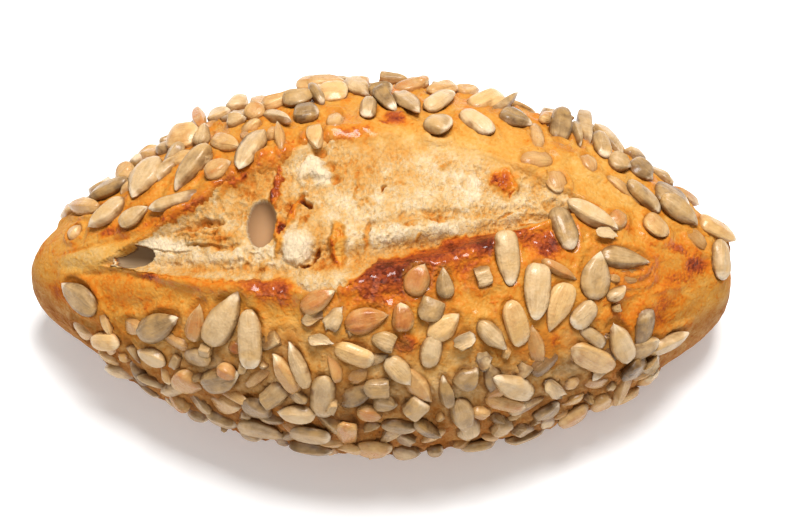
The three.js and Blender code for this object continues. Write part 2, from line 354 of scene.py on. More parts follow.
def placed_kernel(look, tail_x, tail_y, tip_x, tip_y, breadth):
    """Lays a kernel on the dough so that the camera sees it at those pixels."""
    tail, tip = np.array([tail_x, tail_y]), np.array([tip_x, tip_y])
    x, girth, beyond = under_pixel((tail + tip) / 2)
    middle = baked_point(x, girth)
    here = in_photo(middle)[0]
    pace = np.stack([in_photo(middle + way)[0] - here for way in directions_at(x, girth)[:2]], axis=1)
    turned, seen, own = np.linalg.svd(pace)
    reach = own.T @ (turned.T @ (tip - tail) / np.maximum(seen, LEAST_FACING * seen[0]))
    length = float(np.linalg.norm(reach))
    axis = (tip - tail) / np.linalg.norm(tip - tail)
    side = pace @ np.array([-reach[1], reach[0]]) / length
    seen_breadth = abs(axis[0] * side[1] - axis[1] * side[0])
    breadth = breadth / max(seen_breadth, LEAST_FACING * seen[0])
    return {
        "x": x, "girth": girth, "heading": math.degrees(math.atan2(reach[1], reach[0])), "look": look,
        "length": min(length, LONGEST_KERNEL), "breadth": min(breadth, BROADEST_KERNEL, 0.9 * length + 1),
        "heaped": min(HEAPED_PER_PIXEL * beyond, HIGHEST_HEAP), "raised": raised_at(x, girth),
    }


kernels = [placed_kernel(look, *row) for look, rows in PLACED_KERNELS.items() for row in rows]
middles = [moulded_point(kernel["x"], kernel["girth"]) for kernel in kernels]
for i, kernel in enumerate(kernels):
    pitch, roll = chance.normal(0, PLACED_TILT, 2)
    lift = SUNK_LIFT if kernel["look"] in SUNK_LOOKS else PLACED_LIFT + chance.uniform(*LIFT_SPREAD)
    lift += kernel["heaped"] + kernel["raised"]
    if kernel["look"] == "flake":
        lift += FLAKE_LIFT
    for earlier in range(i):
        clear = OVERLAP * (kernel["breadth"] + kernels[earlier]["breadth"])
        gap = np.linalg.norm(middles[i] - middles[earlier])
        if kernels[earlier]["look"] not in SUNK_LOOKS:
            lift = max(lift, PLACED_LIFT + 0.5 * (clear - gap))
    kernel.update(pitch=pitch, roll=roll, lift=lift)


def on_far_side(x, girth):
    """Where the photo shows nothing, off the noses and the edge of the underside."""
    hidden = facing_camera(x, girth) < np.where(girth < 90, HIDDEN_FACING["front"], HIDDEN_FACING["back"])
    return hidden & (LENGTH / 2 - np.abs(x) > BARE_NOSE) & (moulded_point(x, girth)[..., 2] > LOWEST_KERNEL)


def on_front_flank(x, girth):
    """Below the front lip, where bits of kernel fill the gaps."""
    flank = FRONT_FLANK
    highest = flank["highest"] - flank["bend"] * x**2 + flank["rise"] * bell(x, flank["at"], flank["breadth"])
    return (girth < highest) & (np.abs(x) < flank["ends"]) & (facing_camera(x, girth) > flank["facing"])


def in_back_heap(x, girth):
    """At the back on the left, where kernels lie in a heap."""
    within = np.abs(x - BACK_HEAP["x"]) < BACK_HEAP["half_length"]
    return within & (girth > BACK_HEAP["from"]) & (girth < BACK_HEAP["to"])


def scatter(draws, place, spacing, farthest, longest, shortest, looks, tilt, lift, climb=0):
    """Keeps a seeded draw where the nearest kernel lies farther off than the spacing, and not too far."""
    x = chance.uniform(-LENGTH / 2, LENGTH / 2, draws)
    girth = chance.uniform(-40, 220, draws)
    candidates = moulded_point(x, girth)
    wanted = place(x, girth)
    heading = chance.uniform(0, 360, draws)
    length = longest - (longest - shortest) * chance.random(draws) ** 2
    breadth = length * chance.uniform(0.42, 0.56, draws)
    tilts = chance.normal(0, tilt, (draws, 2))
    look = chance.choice(list(looks), draws, p=list(looks.values()))
    for i in range(draws):
        if not wanted[i]:
            continue
        nearest = np.linalg.norm(np.array(middles) - candidates[i], axis=1).min()
        if not spacing < nearest < farthest:
            continue
        middles.append(candidates[i])
        kernels.append({
            "x": x[i], "girth": girth[i], "heading": heading[i], "length": length[i], "breadth": breadth[i],
            "look": look[i], "pitch": tilts[i, 0], "roll": tilts[i, 1], "raised": 0,
            "lift": lift + climb * soft_step(CLIMB_WITHIN - nearest, 0, 3),
        })


WHOLE_MIX = {"bright": 0.22, "pale": 0.34, "grey": 0.16, "yellow": 0.08, "tan": 0.14, "toasted": 0.06}
SMALL_MIX = {"bright": 0.1, "pale": 0.22, "grey": 0.16, "tan": 0.12, "toasted": 0.06, "broken": 0.34}
UNDER_MIX = {"grey": 0.24, "pale": 0.26, "tan": 0.16, "bright": 0.12, "yellow": 0.08, "broken": 0.14}
FILLING_MIX = {"sunk": 0.25, "grey": 0.15, "tan": 0.15, "pale": 0.15, "broken": 0.3}
# Draws, place, least and greatest gap to the nearest kernel, longest, shortest, looks, tilt, lift and climb.
scatter(4000, on_far_side, 6.4, 99, 11.4, 8.8, WHOLE_MIX, 7, PLACED_LIFT, 1.1)
scatter(4000, on_far_side, 4.8, 99, 8.0, 4.2, SMALL_MIX, 14, PLACED_LIFT, 1.1)
scatter(500, in_back_heap, 3.7, 7.5, 10, 7, UNDER_MIX, 12, FILLING_LIFT)
scatter(1500, on_front_flank, 4.1, 7.5, 9.5, 6.5, UNDER_MIX, 14, FILLING_LIFT)
scatter(1500, on_front_flank, 3.7, 7.5, 6.5, 4.5, FILLING_MIX, 16, FILLING_LIFT)
scatter(1500, on_front_flank, 3.4, 5.5, 4.4, 2.4, {"bit": 0.5, "sunk": 0.5}, 20, BIT_LIFT)
scatter(1500, in_back_heap, 3.0, 7.5, 7.5, 5.5, UNDER_MIX, 14, FILLING_LIFT)


def kernel_axes(kernel):
    """The kernel's own directions as a matrix: its tip, its side and its upper face."""
    along, _, outward = directions_at(kernel["x"], kernel["girth"])
    outward = unit(outward + kernel["raised"] * np.array(towards_camera))
    along = unit(along - (along @ outward) * outward)
    basis = np.stack([along, np.cross(outward, along), outward], axis=1)
    turn = Euler([math.radians(kernel[name]) for name in ("roll", "pitch", "heading")], "XYZ").to_matrix()
    return basis @ np.array(turn)


for kernel in kernels:
    kernel["axes"] = kernel_axes(kernel)
    place = (kernel["x"], kernel["girth"])
    kernel["middle"] = baked_point(*place) + kernel["lift"] * outward_at(*place)

# The crust
# The dough's outer skin, baked golden and glazed. It rises a little round each kernel, ends in ragged lips
# at the tear and lies flat on the tray. Its grid is a sphere's, with its poles at the noses.
CRUST_RINGS = 380
CRUST_SIDES = 250
CREST_CROWDING = 0.48
NOSE_CROWDING = 0.4
# The last value says how far round each kernel the darker ring of glaze and painted contact shade reaches.
COLLAR = {"at": 1.15, "height": 0.7, "breadth": 0.34, "near": 1.9, "shaded_ring": 1.22}
CRUST_THICKNESS = 2.4
FLAT_ROUNDING = 0.6
UNEVEN_HEIGHT = 0.5
SKIN_ROUGHNESS = {"plain": 0.1, "seeded": 0.35, "browned": 0.3, "fine": 0.06}
LIP_LUMPS = {"coarse": 0.8, "fine": 0.5}
FLATTENED_LIP = {"x": 10, "half_length": 16, "depth": 1.1}
PLAIN_BROWNING = 0.4
FOOT_BROWNING = 0.16
NOSE_BROWNING = [0.4, 0.4]
NOSE_DULLING = [0.8, 0.8]
MATT_FLANK = 0.85
# Low on the front among the kernels: partly smeared dough, partly painted shade.
SMEAR_AND_SHADE = {"share": 0.42, "patches": 0.4, "low": 0.4, "bare_x": 29, "bare_girth": 42}
CELL_PRIMES = np.array([73856093, 19349663, 83492791])
PRIMES = (1274126177, 668265263, 374761393, 2246822519)
LARGEST_KEY = 0x7FFFFFFF
GRAIN_STRIDE = 31.7
PIT_STRIDE = 17.9


def scrambled(cell, first_prime, second_prime):
    """A whole number for each cell of a grid, as if drawn at random."""
    key = cell @ CELL_PRIMES
    key = (key ^ (key >> 13)) * first_prime & LARGEST_KEY
    return (key ^ (key >> 15)) * second_prime & LARGEST_KEY


def grain(points, size, seed=0):
    """Smooth random values from -1 to 1, in lumps about size across."""
    places = np.asarray(points) / size + GRAIN_STRIDE * seed
    cell = np.floor(places).astype(np.int64)
    share = soft_step(places - cell, 0, 1)
    total = np.zeros(places.shape[:-1])
    for corner in np.ndindex(2, 2, 2):
        height = scrambled(cell + corner, *PRIMES[:2]) / (LARGEST_KEY // 2) - 1
        total += height * np.prod(np.where(corner, share, 1 - share), axis=-1)
    return total


def rough(points, size, seed=0, layers=3):
    """Layers of grain, each half as large and half as high as the one before."""
    return sum(grain(points, size / 2**i, seed + i) / 2**i for i in range(layers)) / 1.5


def pits(points, size, seed=0):
    """How far each point lies from the middle of its nearest cell, as a share of size."""
    places = np.asarray(points) / size + PIT_STRIDE * seed
    cell = np.floor(places).astype(np.int64)
    nearest = np.full(places.shape[:-1], 9.0)
    for offset in np.ndindex(3, 3, 3):
        neighbour = cell + offset - 1
        jitter = [scrambled(neighbour, prime, PRIMES[3]) / LARGEST_KEY for prime in PRIMES[:3]]
        middle = neighbour + np.stack(jitter, axis=-1)
        nearest = np.minimum(nearest, np.linalg.norm(places - middle, axis=-1))
    return nearest


def unevenness(points):
    return UNEVEN_HEIGHT * rough(points, 16, 1)


def soft_edge(x, side):
    """1 where the crumb runs out into the crust without a lip, as it does at the back on the right."""
    return soft_step(x, -12, 2) * (side > 0)


# Crumb spills over the front lip at the first place, and browned crust climbs over it at the second.
SPILLS = [{"x": -9, "half_length": 6.5, "share": 0.26}, {"x": 8.5, "half_length": 14, "share": -0.27}]
COARSE_FRAY = 0.13
FINE_FRAY = 0.05
OFF_THE_TEAR = 9
CRUMB_EDGE = 1.02


def ragged_side(x, girth, points):
    """The side of the tear, its edge frayed."""
    opening, side = tear_at(x, girth)
    fray = COARSE_FRAY * rough(points, 5, 3) + FINE_FRAY * grain(points, 0.9, 5)
    fray = fray * (1 - 0.8 * soft_edge(x, side))
    for spill in SPILLS:
        fray = fray - (side < 0) * spill["share"] * bell(x, spill["x"], spill["half_length"], 4)
    return np.where(opening > 0, side + fray * np.sign(side), OFF_THE_TEAR * np.sign(side))


def crumb_share(x, side, opening):
    """0 on the crust and 1 on the crumb, with a sharp change at a lip."""
    width = 0.08 + 0.5 * soft_edge(x, side)
    on_crust = soft_step(np.abs(side), CRUMB_EDGE - width, CRUMB_EDGE + width / 3)
    return (1 - on_crust) * soft_step(opening, 2, 7)


# What stands out in the tear and on the crust: x, girth angle, tilt, half length, half breadth, height and
# how much browner it is. The first two kinds have crisp edges and the others fade out.
# Where a crumb form sinks, its browning is mostly painted shade in the hole or crevice.
CRUMB_FORMS = [
    (-12.9, 70.5, 60, 1.4, 0.5, -1.4, 0.8), (-14.6, 66.6, 30, 0.9, 0.5, -1.2, 0.8),
    (-19.5, 80, 70, 1.2, 0.6, -0.9, 0.7), (-15.2, 88.8, -60, 1.0, 0.6, -2.2, 0.95),
    (-14.2, 87, -50, 0.9, 0.5, -2.0, 0.9), (0.5, 91.2, 60, 0.7, 0.4, -1.5, 0.9),
    (-10, 98.5, 0, 1.3, 0.8, -1.0, 0.4), (-13.2, 94.5, 0, 2.1, 0.8, -1.1, 0.4),
    (-11.5, 102.8, 0, 1.3, 0.8, -0.9, 0.4), (-9.2, 94, 0, 1.2, 1.0, -0.9, 0.4),
    (-18, 87.5, 40, 0.9, 0.9, -1.0, 0.4), (-34.0, 83.4, 2, 2.8, 1.0, -1.6, 0.5),
    (-38, 82, 4, 2.4, 0.5, -0.6, 0.35), (-34.5, 78.4, -3, 5.6, 2.3, 0.6, 0.16),
    (-36, 79.8, -3, 4.6, 0.4, 0.4, 0.18), (-33.5, 77.4, -3, 4.8, 0.4, 0.3, 0.16),
    (-35, 74.8, 0, 4.4, 0.4, -0.6, 0.28), (-30, 73.8, 0, 2.6, 0.5, -0.6, 0.26),
    (-31.5, 80.5, 70, 1.4, 0.5, 0.4, 0.2), (-42, 73, -10, 4, 0.4, -0.5, 0.2),
    (6, 80.2, 8, 2.2, 0.5, -0.5, 0.26), (11.5, 82.2, 6, 2.6, 0.6, -0.6, 0.28),
    (9.5, 84.3, 4, 2.0, 0.5, -0.4, 0.2), (24.6, 84.6, 24, 1.6, 0.3, -0.6, 0.5),
    (30, 85, 0, 2.2, 0.7, -0.6, 0.22), (35, 88, -20, 3.0, 1.2, -1.0, 0.22),
    (-15.2, 81.8, 55, 1.8, 0.5, 0.4, 0.3), (-21.4, 90, 70, 1.6, 0.7, 0.4, 0.4),
    (-22.5, 67, 70, 1.8, 0.9, 0.5, 0.35), (-26.3, 67.5, 80, 1.6, 0.5, 0.4, 0.25),
    (-2.6, 76.8, 85, 3.2, 0.5, -0.9, 0.45), (-7.2, 82.5, 80, 1.6, 0.5, 0.2, 0.2),
    (7.5, 76.2, 60, 0.7, 0.5, 0.2, 0.4), (12.8, 98.5, 60, 1.2, 0.7, 0.3, 0.3),
    (-4.8, 92.5, 80, 2.6, 0.5, 0.2, 0.28), (-1.8, 87, -40, 1.4, 0.6, 0.1, 0.25),
    (25.5, 91.5, 75, 0.8, 0.3, -0.5, 0.4), (39, 85.4, 0, 1.6, 0.7, 0.5, 0.5),
]
STRANDS = [
    (-8.2, 73.4, 88, 4.6, 1.7, 1.7, 0.32), (-8.0, 71, 88, 1.8, 0.5, 0.3, -0.3),
    (-20, 76.6, 85, 4.2, 0.9, 1.0, 0.2), (-17, 84.6, 60, 3.4, 0.8, 0.7, 0.24),
    (-20.3, 93.5, 80, 4.6, 0.8, 0.6, 0.36), (24.2, 95.2, -15, 3.0, 2.7, 1.0, 0.38),
    (23.6, 94.6, 30, 1.8, 1.2, 0.3, 0.1), (28.5, 81.8, -20, 1.2, 0.6, 0.5, 0.3),
    (-28, 96, 40, 3.4, 1.0, 0.3, 0.3),
]
CRUMB_FADES = [
    (4, 76.8, 8, 9.5, 2.2, 1.1, -0.16), (15, 79.8, 6, 7, 1.6, 0.7, -0.14), (2, 81, 8, 7, 0.9, -0.45, 0.08),
    (13, 84, 3, 7, 1.0, -0.4, 0.08), (25, 86.4, 10, 6, 0.7, -0.4, 0.08),
    (-11.5, 95.5, 0, 1.6, 1.6, 0.5, -0.4), (-27, 70, 0, 9, 2.2, 0.4, -0.14),
    (-44, 76, -12, 6, 2.2, 0.4, -0.3), (-50, 69, 10, 6, 1.8, 0.4, -0.28), (-30, 65.4, 0, 9, 1.2, -0.2, 0.2),
    (-12, 66.5, 20, 3, 1.5, 0.4, 0.2), (-4.5, 69, 70, 4, 1.6, 0.5, 0.15), (-27, 84, 0, 12, 8, 0, 0.1),
    (3, 101, 0, 14, 4, 0.2, 0.1), (9, 88, 0, 12, 2.6, 0.2, -0.1), (14, 100, 0, 8, 3, 0, -0.18),
    (20, 92, 0, 10, 5, 0.2, -0.12), (-11, 76, 0, 2.5, 6, 0, 0.12), (-13, 66, 30, 5, 3, 0, 0.12),
    (-6, 97, 30, 4, 4, 0, 0.1), (-23, 96, 40, 5, 3, 0, 0.22), (3.5, 72.5, 8, 7, 1.3, -0.3, 0.1),
    (-20, 84, 90, 3, 1.2, 0.2, 0.05),
]
CRUST_FORMS = [
    (-57, 74, 10, 5, 5, 1.0, -0.12), (-53, 62, 25, 6, 1.2, -0.7, 0.02), (-55.5, 80, 5, 6, 1.0, -0.6, 0.1),
    (56, 74, 0, 6, 4, 0.5, 0), (33, 33, 10, 7, 4, 0.5, 0), (2.6, 117, 0, 1.8, 1.4, 0.5, 0.3),
    (-44, 55, 20, 8, 3, 0.5, 0), (53, 45, 60, 7, 3, 0.6, 0), (60, 40, 70, 6, 2, 0.4, 0),
    (4.6, 42, 0, 1.8, 1.6, 0.9, 0.25), (-48, 60, 10, 6, 1.2, -0.5, 0.1), (50, 52, 5, 8, 1.0, 0.4, 0.08),
    (18.5, 73, 20, 4, 4, 0.7, 0), (0, 65, 20, 5, 3.5, 0.5, 0),
]
CRISP = 0.75
FADING = 1.5
FRAYING = 0.9
MM_PER_DEGREE = 0.62


def forms_at(x, girth, forms, edge):
    """The relief, the browning and the cover of these forms, with edges this broad as a share of them."""
    relief, browning, cover = np.zeros((3, *np.shape(x)))
    points = moulded_point(x, girth)
    x = x + FRAYING * rough(points, 1.8, 41)
    girth = girth + FRAYING / MM_PER_DEGREE * rough(points, 1.8, 45)
    for at_x, at_girth, tilt, half_length, half_breadth, height, brown in forms:
        right = x - at_x
        up = (girth - at_girth) * MM_PER_DEGREE
        cosine, sine = math.cos(math.radians(tilt)), math.sin(math.radians(tilt))
        along = (right * cosine + up * sine) / half_length
        across = (up * cosine - right * sine) / half_breadth
        share = soft_step(1 + edge / 2 - np.hypot(along, across), 0, edge)
        relief += height * share
        browning += brown * share
        cover = np.maximum(cover, share)
    return relief, browning, cover


def kernel_seats(points):
    """The dough's rise round the kernels, how near each point is to one, and its rim of glaze and painted
    shade.
    """
    rise, near, rim = np.zeros((3, len(points)))
    for kernel in kernels:
        local = points - kernel["middle"]
        close = np.flatnonzero(np.abs(local).max(axis=1) < kernel["length"] * 0.9 + 1.5)
        own = local[close] @ kernel["axes"]
        away = np.hypot(own[:, 0] / (kernel["length"] / 2), own[:, 1] / (kernel["breadth"] / 2))
        away = away + soft_step(-own[:, 2], 2.5, 4.5)
        collar = bell(away, COLLAR["at"], COLLAR["breadth"])
        rise[close] = np.maximum(rise[close], np.where(away < 1, 0.5 * collar, collar))
        near[close] = np.maximum(near[close], soft_step(COLLAR["near"] - away, 0, 0.9))
        # The darker ring at the rim: partly glaze gathered there, partly painted contact shade.
        rim[close] = np.maximum(rim[close], soft_step(COLLAR["shaded_ring"] - away, 0, 0.2))
    return COLLAR["height"] * rise, near, rim


def closed_faces(rings, sides):
    """Faces of a grid of rings between two poles, which come after the rings' points."""
    ring, side = np.meshgrid(np.arange(rings - 1), np.arange(sides), indexing="ij")
    beside = (side + 1) % sides
    quads = np.stack([
        ring * sides + side, ring * sides + beside, (ring + 1) * sides + beside, (ring + 1) * sides + side,
    ], axis=-1).reshape(-1, 4)
    first, last = rings * sides, rings * sides + 1
    end = (rings - 1) * sides
    caps = [(first, (i + 1) % sides, i) for i in range(sides)]
    caps += [(last, end + i, end + (i + 1) % sides) for i in range(sides)]
    return quads.tolist() + caps


def make_mesh(name, points, faces):
    mesh = bpy.data.meshes.new(name)
    mesh.from_pydata((np.asarray(points) * MM).tolist(), [], faces)
    mesh.polygons.foreach_set("use_smooth", np.ones(len(mesh.polygons), bool))
    mesh.update()
    return mesh


def give_values(mesh, kind="FLOAT", **values):
    """Stores a value of this kind for each vertex under each name, for materials and nodes to read."""
    for name, numbers in values.items():
        attribute = mesh.attributes.new(name, kind, "POINT")
        numbers = np.asarray(numbers, np.int32 if kind == "INT" else np.float32).ravel()
        attribute.data.foreach_set("vector" if kind == "FLOAT_VECTOR" else "value", numbers)


def add_piece(name, mesh):
    piece = new_object(name, mesh)
    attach(piece, "root")
    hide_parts("roll")


# Where the crust is browner, or paler if negative: x, girth angle, half length, half turn and strength.
BROWNINGS = [
    (-37, 64.2, 3.2, 2.4, 0.45), (-30, 62, 5, 2.0, 0.3), (-22.5, 59.8, 3.4, 3.8, 0.5),
    (-18.2, 59.4, 1.8, 4, 0.35), (-33, 58.5, 6, 2, 0.12), (-19, 54.5, 3, 4, 0.2),
    (-44, 60.5, 2.2, 1.8, 0.3), (-43, 57.5, 1.2, 1.4, 0.25), (-1.5, 66, 3.6, 5.5, 0.46),
    (4, 66, 4.4, 6, 0.38), (10, 70, 5, 5, 0.34), (15.5, 73, 4, 5.5, 0.38), (19.8, 73.5, 2.8, 6, 0.42),
    (-4, 60, 6, 4, 0.14), (0, 57, 9, 6, 0.18), (12, 62, 10, 5, 0.16), (28, 76, 6, 4.5, 0.3),
    (23, 79.5, 4, 2, 0.3), (32, 70, 3, 5, 0.2), (-41, 85, 4, 2.5, 0.24), (-35.5, 86.5, 3, 3, 0.34),
    (-33.5, 90, 2.2, 3, 0.2), (-29.8, 95, 2.4, 3.4, 0.28), (-26, 98, 3, 3, 0.16), (-20, 101, 5, 3.5, 0.22),
    (-12, 105.5, 6, 3, 0.24), (-5, 108.5, 4, 3, 0.3), (3.2, 114, 2.6, 2.6, 0.35),
    (0.3, 113.6, 0.8, 0.9, 0.5), (-50, 88, 5, 5, 0.12), (-47, 52, 10, 7, 0.08), (-38, 57, 8, 4, 0.06),
    (61.5, 68, 2.4, 7, 0.5), (58, 78, 2.6, 3.4, 0.34), (58, 58, 3, 5, 0.22), (52, 34, 5, 8, 0.2),
    (56, 44, 5, 7, 0.14), (50, 62, 8, 12, 0.16), (46, 44, 6, 6, 0.12), (33, 74, 4, 4, 0.2),
    (47, 84, 4, 3, 0.12), (31, 34, 6, 6, 0.14), (4.8, 41, 2.4, 4, 0.35), (-45, 46, 5, 4, 0.1),
    (-55, 45, 4, 4, 0.08), (40, 60, 4, 6, 0.1), (-61, 80, 3, 4, 0.2), (-53, 86, 2, 3, 0.2),
    # The spot at x -62 and girth 36 darkens the underside of the left nose, which lies in shade: painted
    # shade.
    (-64, 62, 2, 4, 0.15), (-62, 36, 6, 14, 0.2), (20, 116, 26, 14, -0.06), (24, 104, 16, 9, -0.12),
    (42, 101, 12, 9, -0.12), (-57, 72, 6, 8, -0.2), (-60, 62, 4, 6, -0.14), (0, 112, 10, 4, -0.03),
    (10, 106, 10, 5, -0.08), (-30, 52, 12, 6, -0.08), (34, 50, 8, 6, -0.05), (-28, 34, 14, 14, -0.14),
    (-12, 44, 10, 8, -0.06), (8, 30, 14, 14, -0.18), (36, 24, 14, 12, -0.12),
]


def browning_at(x, girth, points, near):
    """0 is cream, 0.45 golden, 0.7 orange brown and 1 dark."""
    # A little browner near the kernels: painted shade round them.
    brown = PLAIN_BROWNING + 0.06 * near + FOOT_BROWNING * soft_step(24 - girth, 0, 20)
    for at_x, at_girth, half_length, half_turn, strength in BROWNINGS:
        away = ((x - at_x) / half_length) ** 2 + ((girth - at_girth) / half_turn) ** 2
        brown = brown + strength * np.exp(-away)
    return brown + 0.1 * rough(points, 8, 7) + 0.12 * rough(points, 2.2, 9)


rings = np.linspace(-1, 1, CRUST_RINGS + 2)[1:-1]
shares = NOSE_CROWDING * np.sin(math.pi / 2 * rings) + (1 - NOSE_CROWDING) * rings
turns = np.linspace(-math.pi, math.pi, CRUST_SIDES, endpoint=False)
girths = 90 - np.degrees(turns - CREST_CROWDING * np.sin(turns))
crust_x, crust_girth = (grid.ravel() for grid in np.meshgrid(LENGTH / 2 * shares, girths, indexing="ij"))
smooth_points = moulded_point(crust_x, crust_girth)
crust_outward = outward_at(crust_x, crust_girth)
crust_side = ragged_side(crust_x, crust_girth, smooth_points)
crust_opening, plain_side = tear_at(crust_x, crust_girth)
seat, near_kernel, rim = kernel_seats(baked_point(crust_x, crust_girth))
sink_width = 0.12 + 0.5 * soft_edge(crust_x, crust_side)
inside_tear = soft_step(1.0 - np.abs(crust_side), 0, sink_width) * soft_step(crust_opening, 2, 9)
seeded = soft_step(near_kernel, 0.05, 0.5)
form_relief, form_brown, _ = forms_at(crust_x, crust_girth, CRUST_FORMS, FADING)
browning = browning_at(crust_x, crust_girth, smooth_points, near_kernel) + form_brown
crust_relief = tear_relief(crust_x, crust_girth) + bubble_relief(smooth_points)
crust_relief += unevenness(smooth_points) + seat + form_relief - CRUST_THICKNESS * inside_tear
lip = bell(np.abs(plain_side), LIP_SET_BACK, 1.6 * LIP_BREADTH) * (crust_opening > 1)
flattened = bell(crust_x, FLATTENED_LIP["x"], FLATTENED_LIP["half_length"], 4) * (crust_girth < 90)
lumps = LIP_LUMPS["coarse"] * rough(smooth_points, 6, 31) + LIP_LUMPS["fine"] * rough(smooth_points, 1.8, 33)
crust_relief += lip * (lumps - FLATTENED_LIP["depth"] * flattened)
roughness = SKIN_ROUGHNESS["plain"] + SKIN_ROUGHNESS["seeded"] * seeded
crust_relief += roughness * rough(smooth_points, 3.2, 2)
roughness = SKIN_ROUGHNESS["fine"] + SKIN_ROUGHNESS["browned"] * soft_step(browning, 0.5, 0.75)
crust_relief += roughness * rough(smooth_points, 1.2, 4)
crust_points = smooth_points + crust_relief[:, None] * crust_outward
noses = [moulded_point(-LENGTH / 2, 90), moulded_point(LENGTH / 2, 90)]
crust_points = np.vstack([crust_points, noses])
height = crust_points[:, 2]
flat = 0.5 * (height + np.sqrt(height**2 + FLAT_ROUNDING))
crust_points[:, 2] = np.where(height < 1, flat, height)
crust_points[:, 2] -= crust_points[:, 2].min()

crust_mesh = make_mesh("crust", crust_points, closed_faces(CRUST_RINGS, CRUST_SIDES))
underside = soft_step(4 - crust_points[:-2, 2], 0, 4)
glazed_nose = soft_step(crust_x, 38, 50) * soft_step(crust_girth, 18, 34)
matt_flank = MATT_FLANK * soft_step(0.5 - crust_outward[:, 2], 0, 0.5) * (1 - 0.85 * glazed_nose)
bare = bell(crust_x, SMEAR_AND_SHADE["bare_x"], 8) * bell(crust_girth, SMEAR_AND_SHADE["bare_girth"], 9)
# Low on the front, among the kernels, the dough is duller and darker: partly smeared dough, partly painted
# shade.
smear_and_shade = soft_step(51 - crust_girth, 0, 14) * soft_step(52 - np.abs(crust_x), 0, 14)
smear_and_shade *= SMEAR_AND_SHADE["share"] + SMEAR_AND_SHADE["patches"] * (rough(smooth_points, 5, 61) - bare)
smear_and_shade += SMEAR_AND_SHADE["low"] * soft_step(34 - crust_girth, 0, 14) * soft_step(56 - np.abs(crust_x), 0, 14)
smear_and_shade *= 1 - 0.8 * glazed_nose
give_values(
    crust_mesh,
    browning=np.append(browning, NOSE_BROWNING),
    dulling=np.append(np.maximum.reduce([matt_flank, underside, smear_and_shade]), NOSE_DULLING),
    crumb=np.append(crumb_share(crust_x, crust_side, crust_opening), [0, 0]),
    rim=np.append(rim, [0, 0]),
    glaze=np.append(soft_step(crust_outward[:, 2], 0.5, 0.85), [0, 0]),
)
add_piece("crust", crust_mesh)


class Wire:
    """A node's output socket. Arithmetic on it adds Math nodes to its tree."""

    def __init__(self, tree, socket=None):
        self.tree = tree
        self.socket = socket

    def node(self, kind, settings=None, inputs=None, output=0):
        """Adds any other node: its settings first, and then the values or wires of its sockets."""
        made = self.tree.nodes.new(kind)
        for name, value in (settings or {}).items():
            if name == "stops":
                while len(made.color_ramp.elements) < len(value):
                    made.color_ramp.elements.new(1)
                for element, (position, colour) in zip(made.color_ramp.elements, value):
                    element.position = position
                    element.color = (*colour, 1)
            else:
                setattr(made, name, value)
        for name, value in (inputs or {}).items():
            if isinstance(value, Wire):
                self.tree.links.new(value.socket, made.inputs[name])
            else:
                made.inputs[name].default_value = value
        return Wire(self.tree, made.outputs[output] if made.outputs else None)

    def math(self, operation, *values):
        return self.node("ShaderNodeMath", {"operation": operation}, dict(enumerate((self, *values))))

    def __add__(self, other):
        return self.math("ADD", other)

    __radd__ = __add__

    def __mul__(self, other):
        return self.math("MULTIPLY", other)

    __rmul__ = __mul__

    def __sub__(self, other):
        return self.math("SUBTRACT", other)

    def __rsub__(self, other):
        return (self * -1) + other

    def between(self, low, high):
        """0 below low, 1 above high, and smooth between them."""
        inputs = {"Value": self, "From Min": low, "From Max": high}
        return self.node("ShaderNodeMapRange", {"interpolation_type": "SMOOTHSTEP"}, inputs)

    def mix(self, first, second):
        """The first colour where this is 0, and the second where it is 1."""
        inputs = {0: self, 6: first, 7: second}
        return self.node("ShaderNodeMix", {"data_type": "RGBA"}, inputs, output=2)

    def ramp(self, *stops):
        return self.node("ShaderNodeValToRGB", {"stops": stops}, {0: self})

    def vector(self, operation, other):
        return self.node("ShaderNodeVectorMath", {"operation": operation}, {0: self, 1: other})

    def scaled(self, amount):
        return self.node("ShaderNodeVectorMath", {"operation": "SCALE"}, {0: self, "Scale": amount})

    def part(self, name):
        """One number of a vector."""
        return self.node("ShaderNodeSeparateXYZ", {}, {0: self}, name)

    def bumped(self, distance):
        return self.node("ShaderNodeBump", {}, {"Height": self, "Distance": distance})


def start_material(name):
    material = bpy.data.materials.new(name)
    material.use_nodes = True
    material.node_tree.nodes.clear()
    return material, Wire(material.node_tree)


def named_value(wires, name, output="Fac"):
    return wires.node("ShaderNodeAttribute", {"attribute_name": name}, {}, output)


def noise(wires, place, size, detail=2.0):
    """Random values about 0.5, in lumps about size metres across."""
    inputs = {"Vector": place, "Scale": 1 / size, "Detail": detail}
    return wires.node("ShaderNodeTexNoise", {}, inputs, "Fac")


def finish_material(wires, inputs):
    shader = wires.node("ShaderNodeBsdfPrincipled", {}, inputs)
    wires.node("ShaderNodeOutputMaterial", {}, {"Surface": shader})


def rgb(red, green, blue):
    return (red, green, blue, 1)


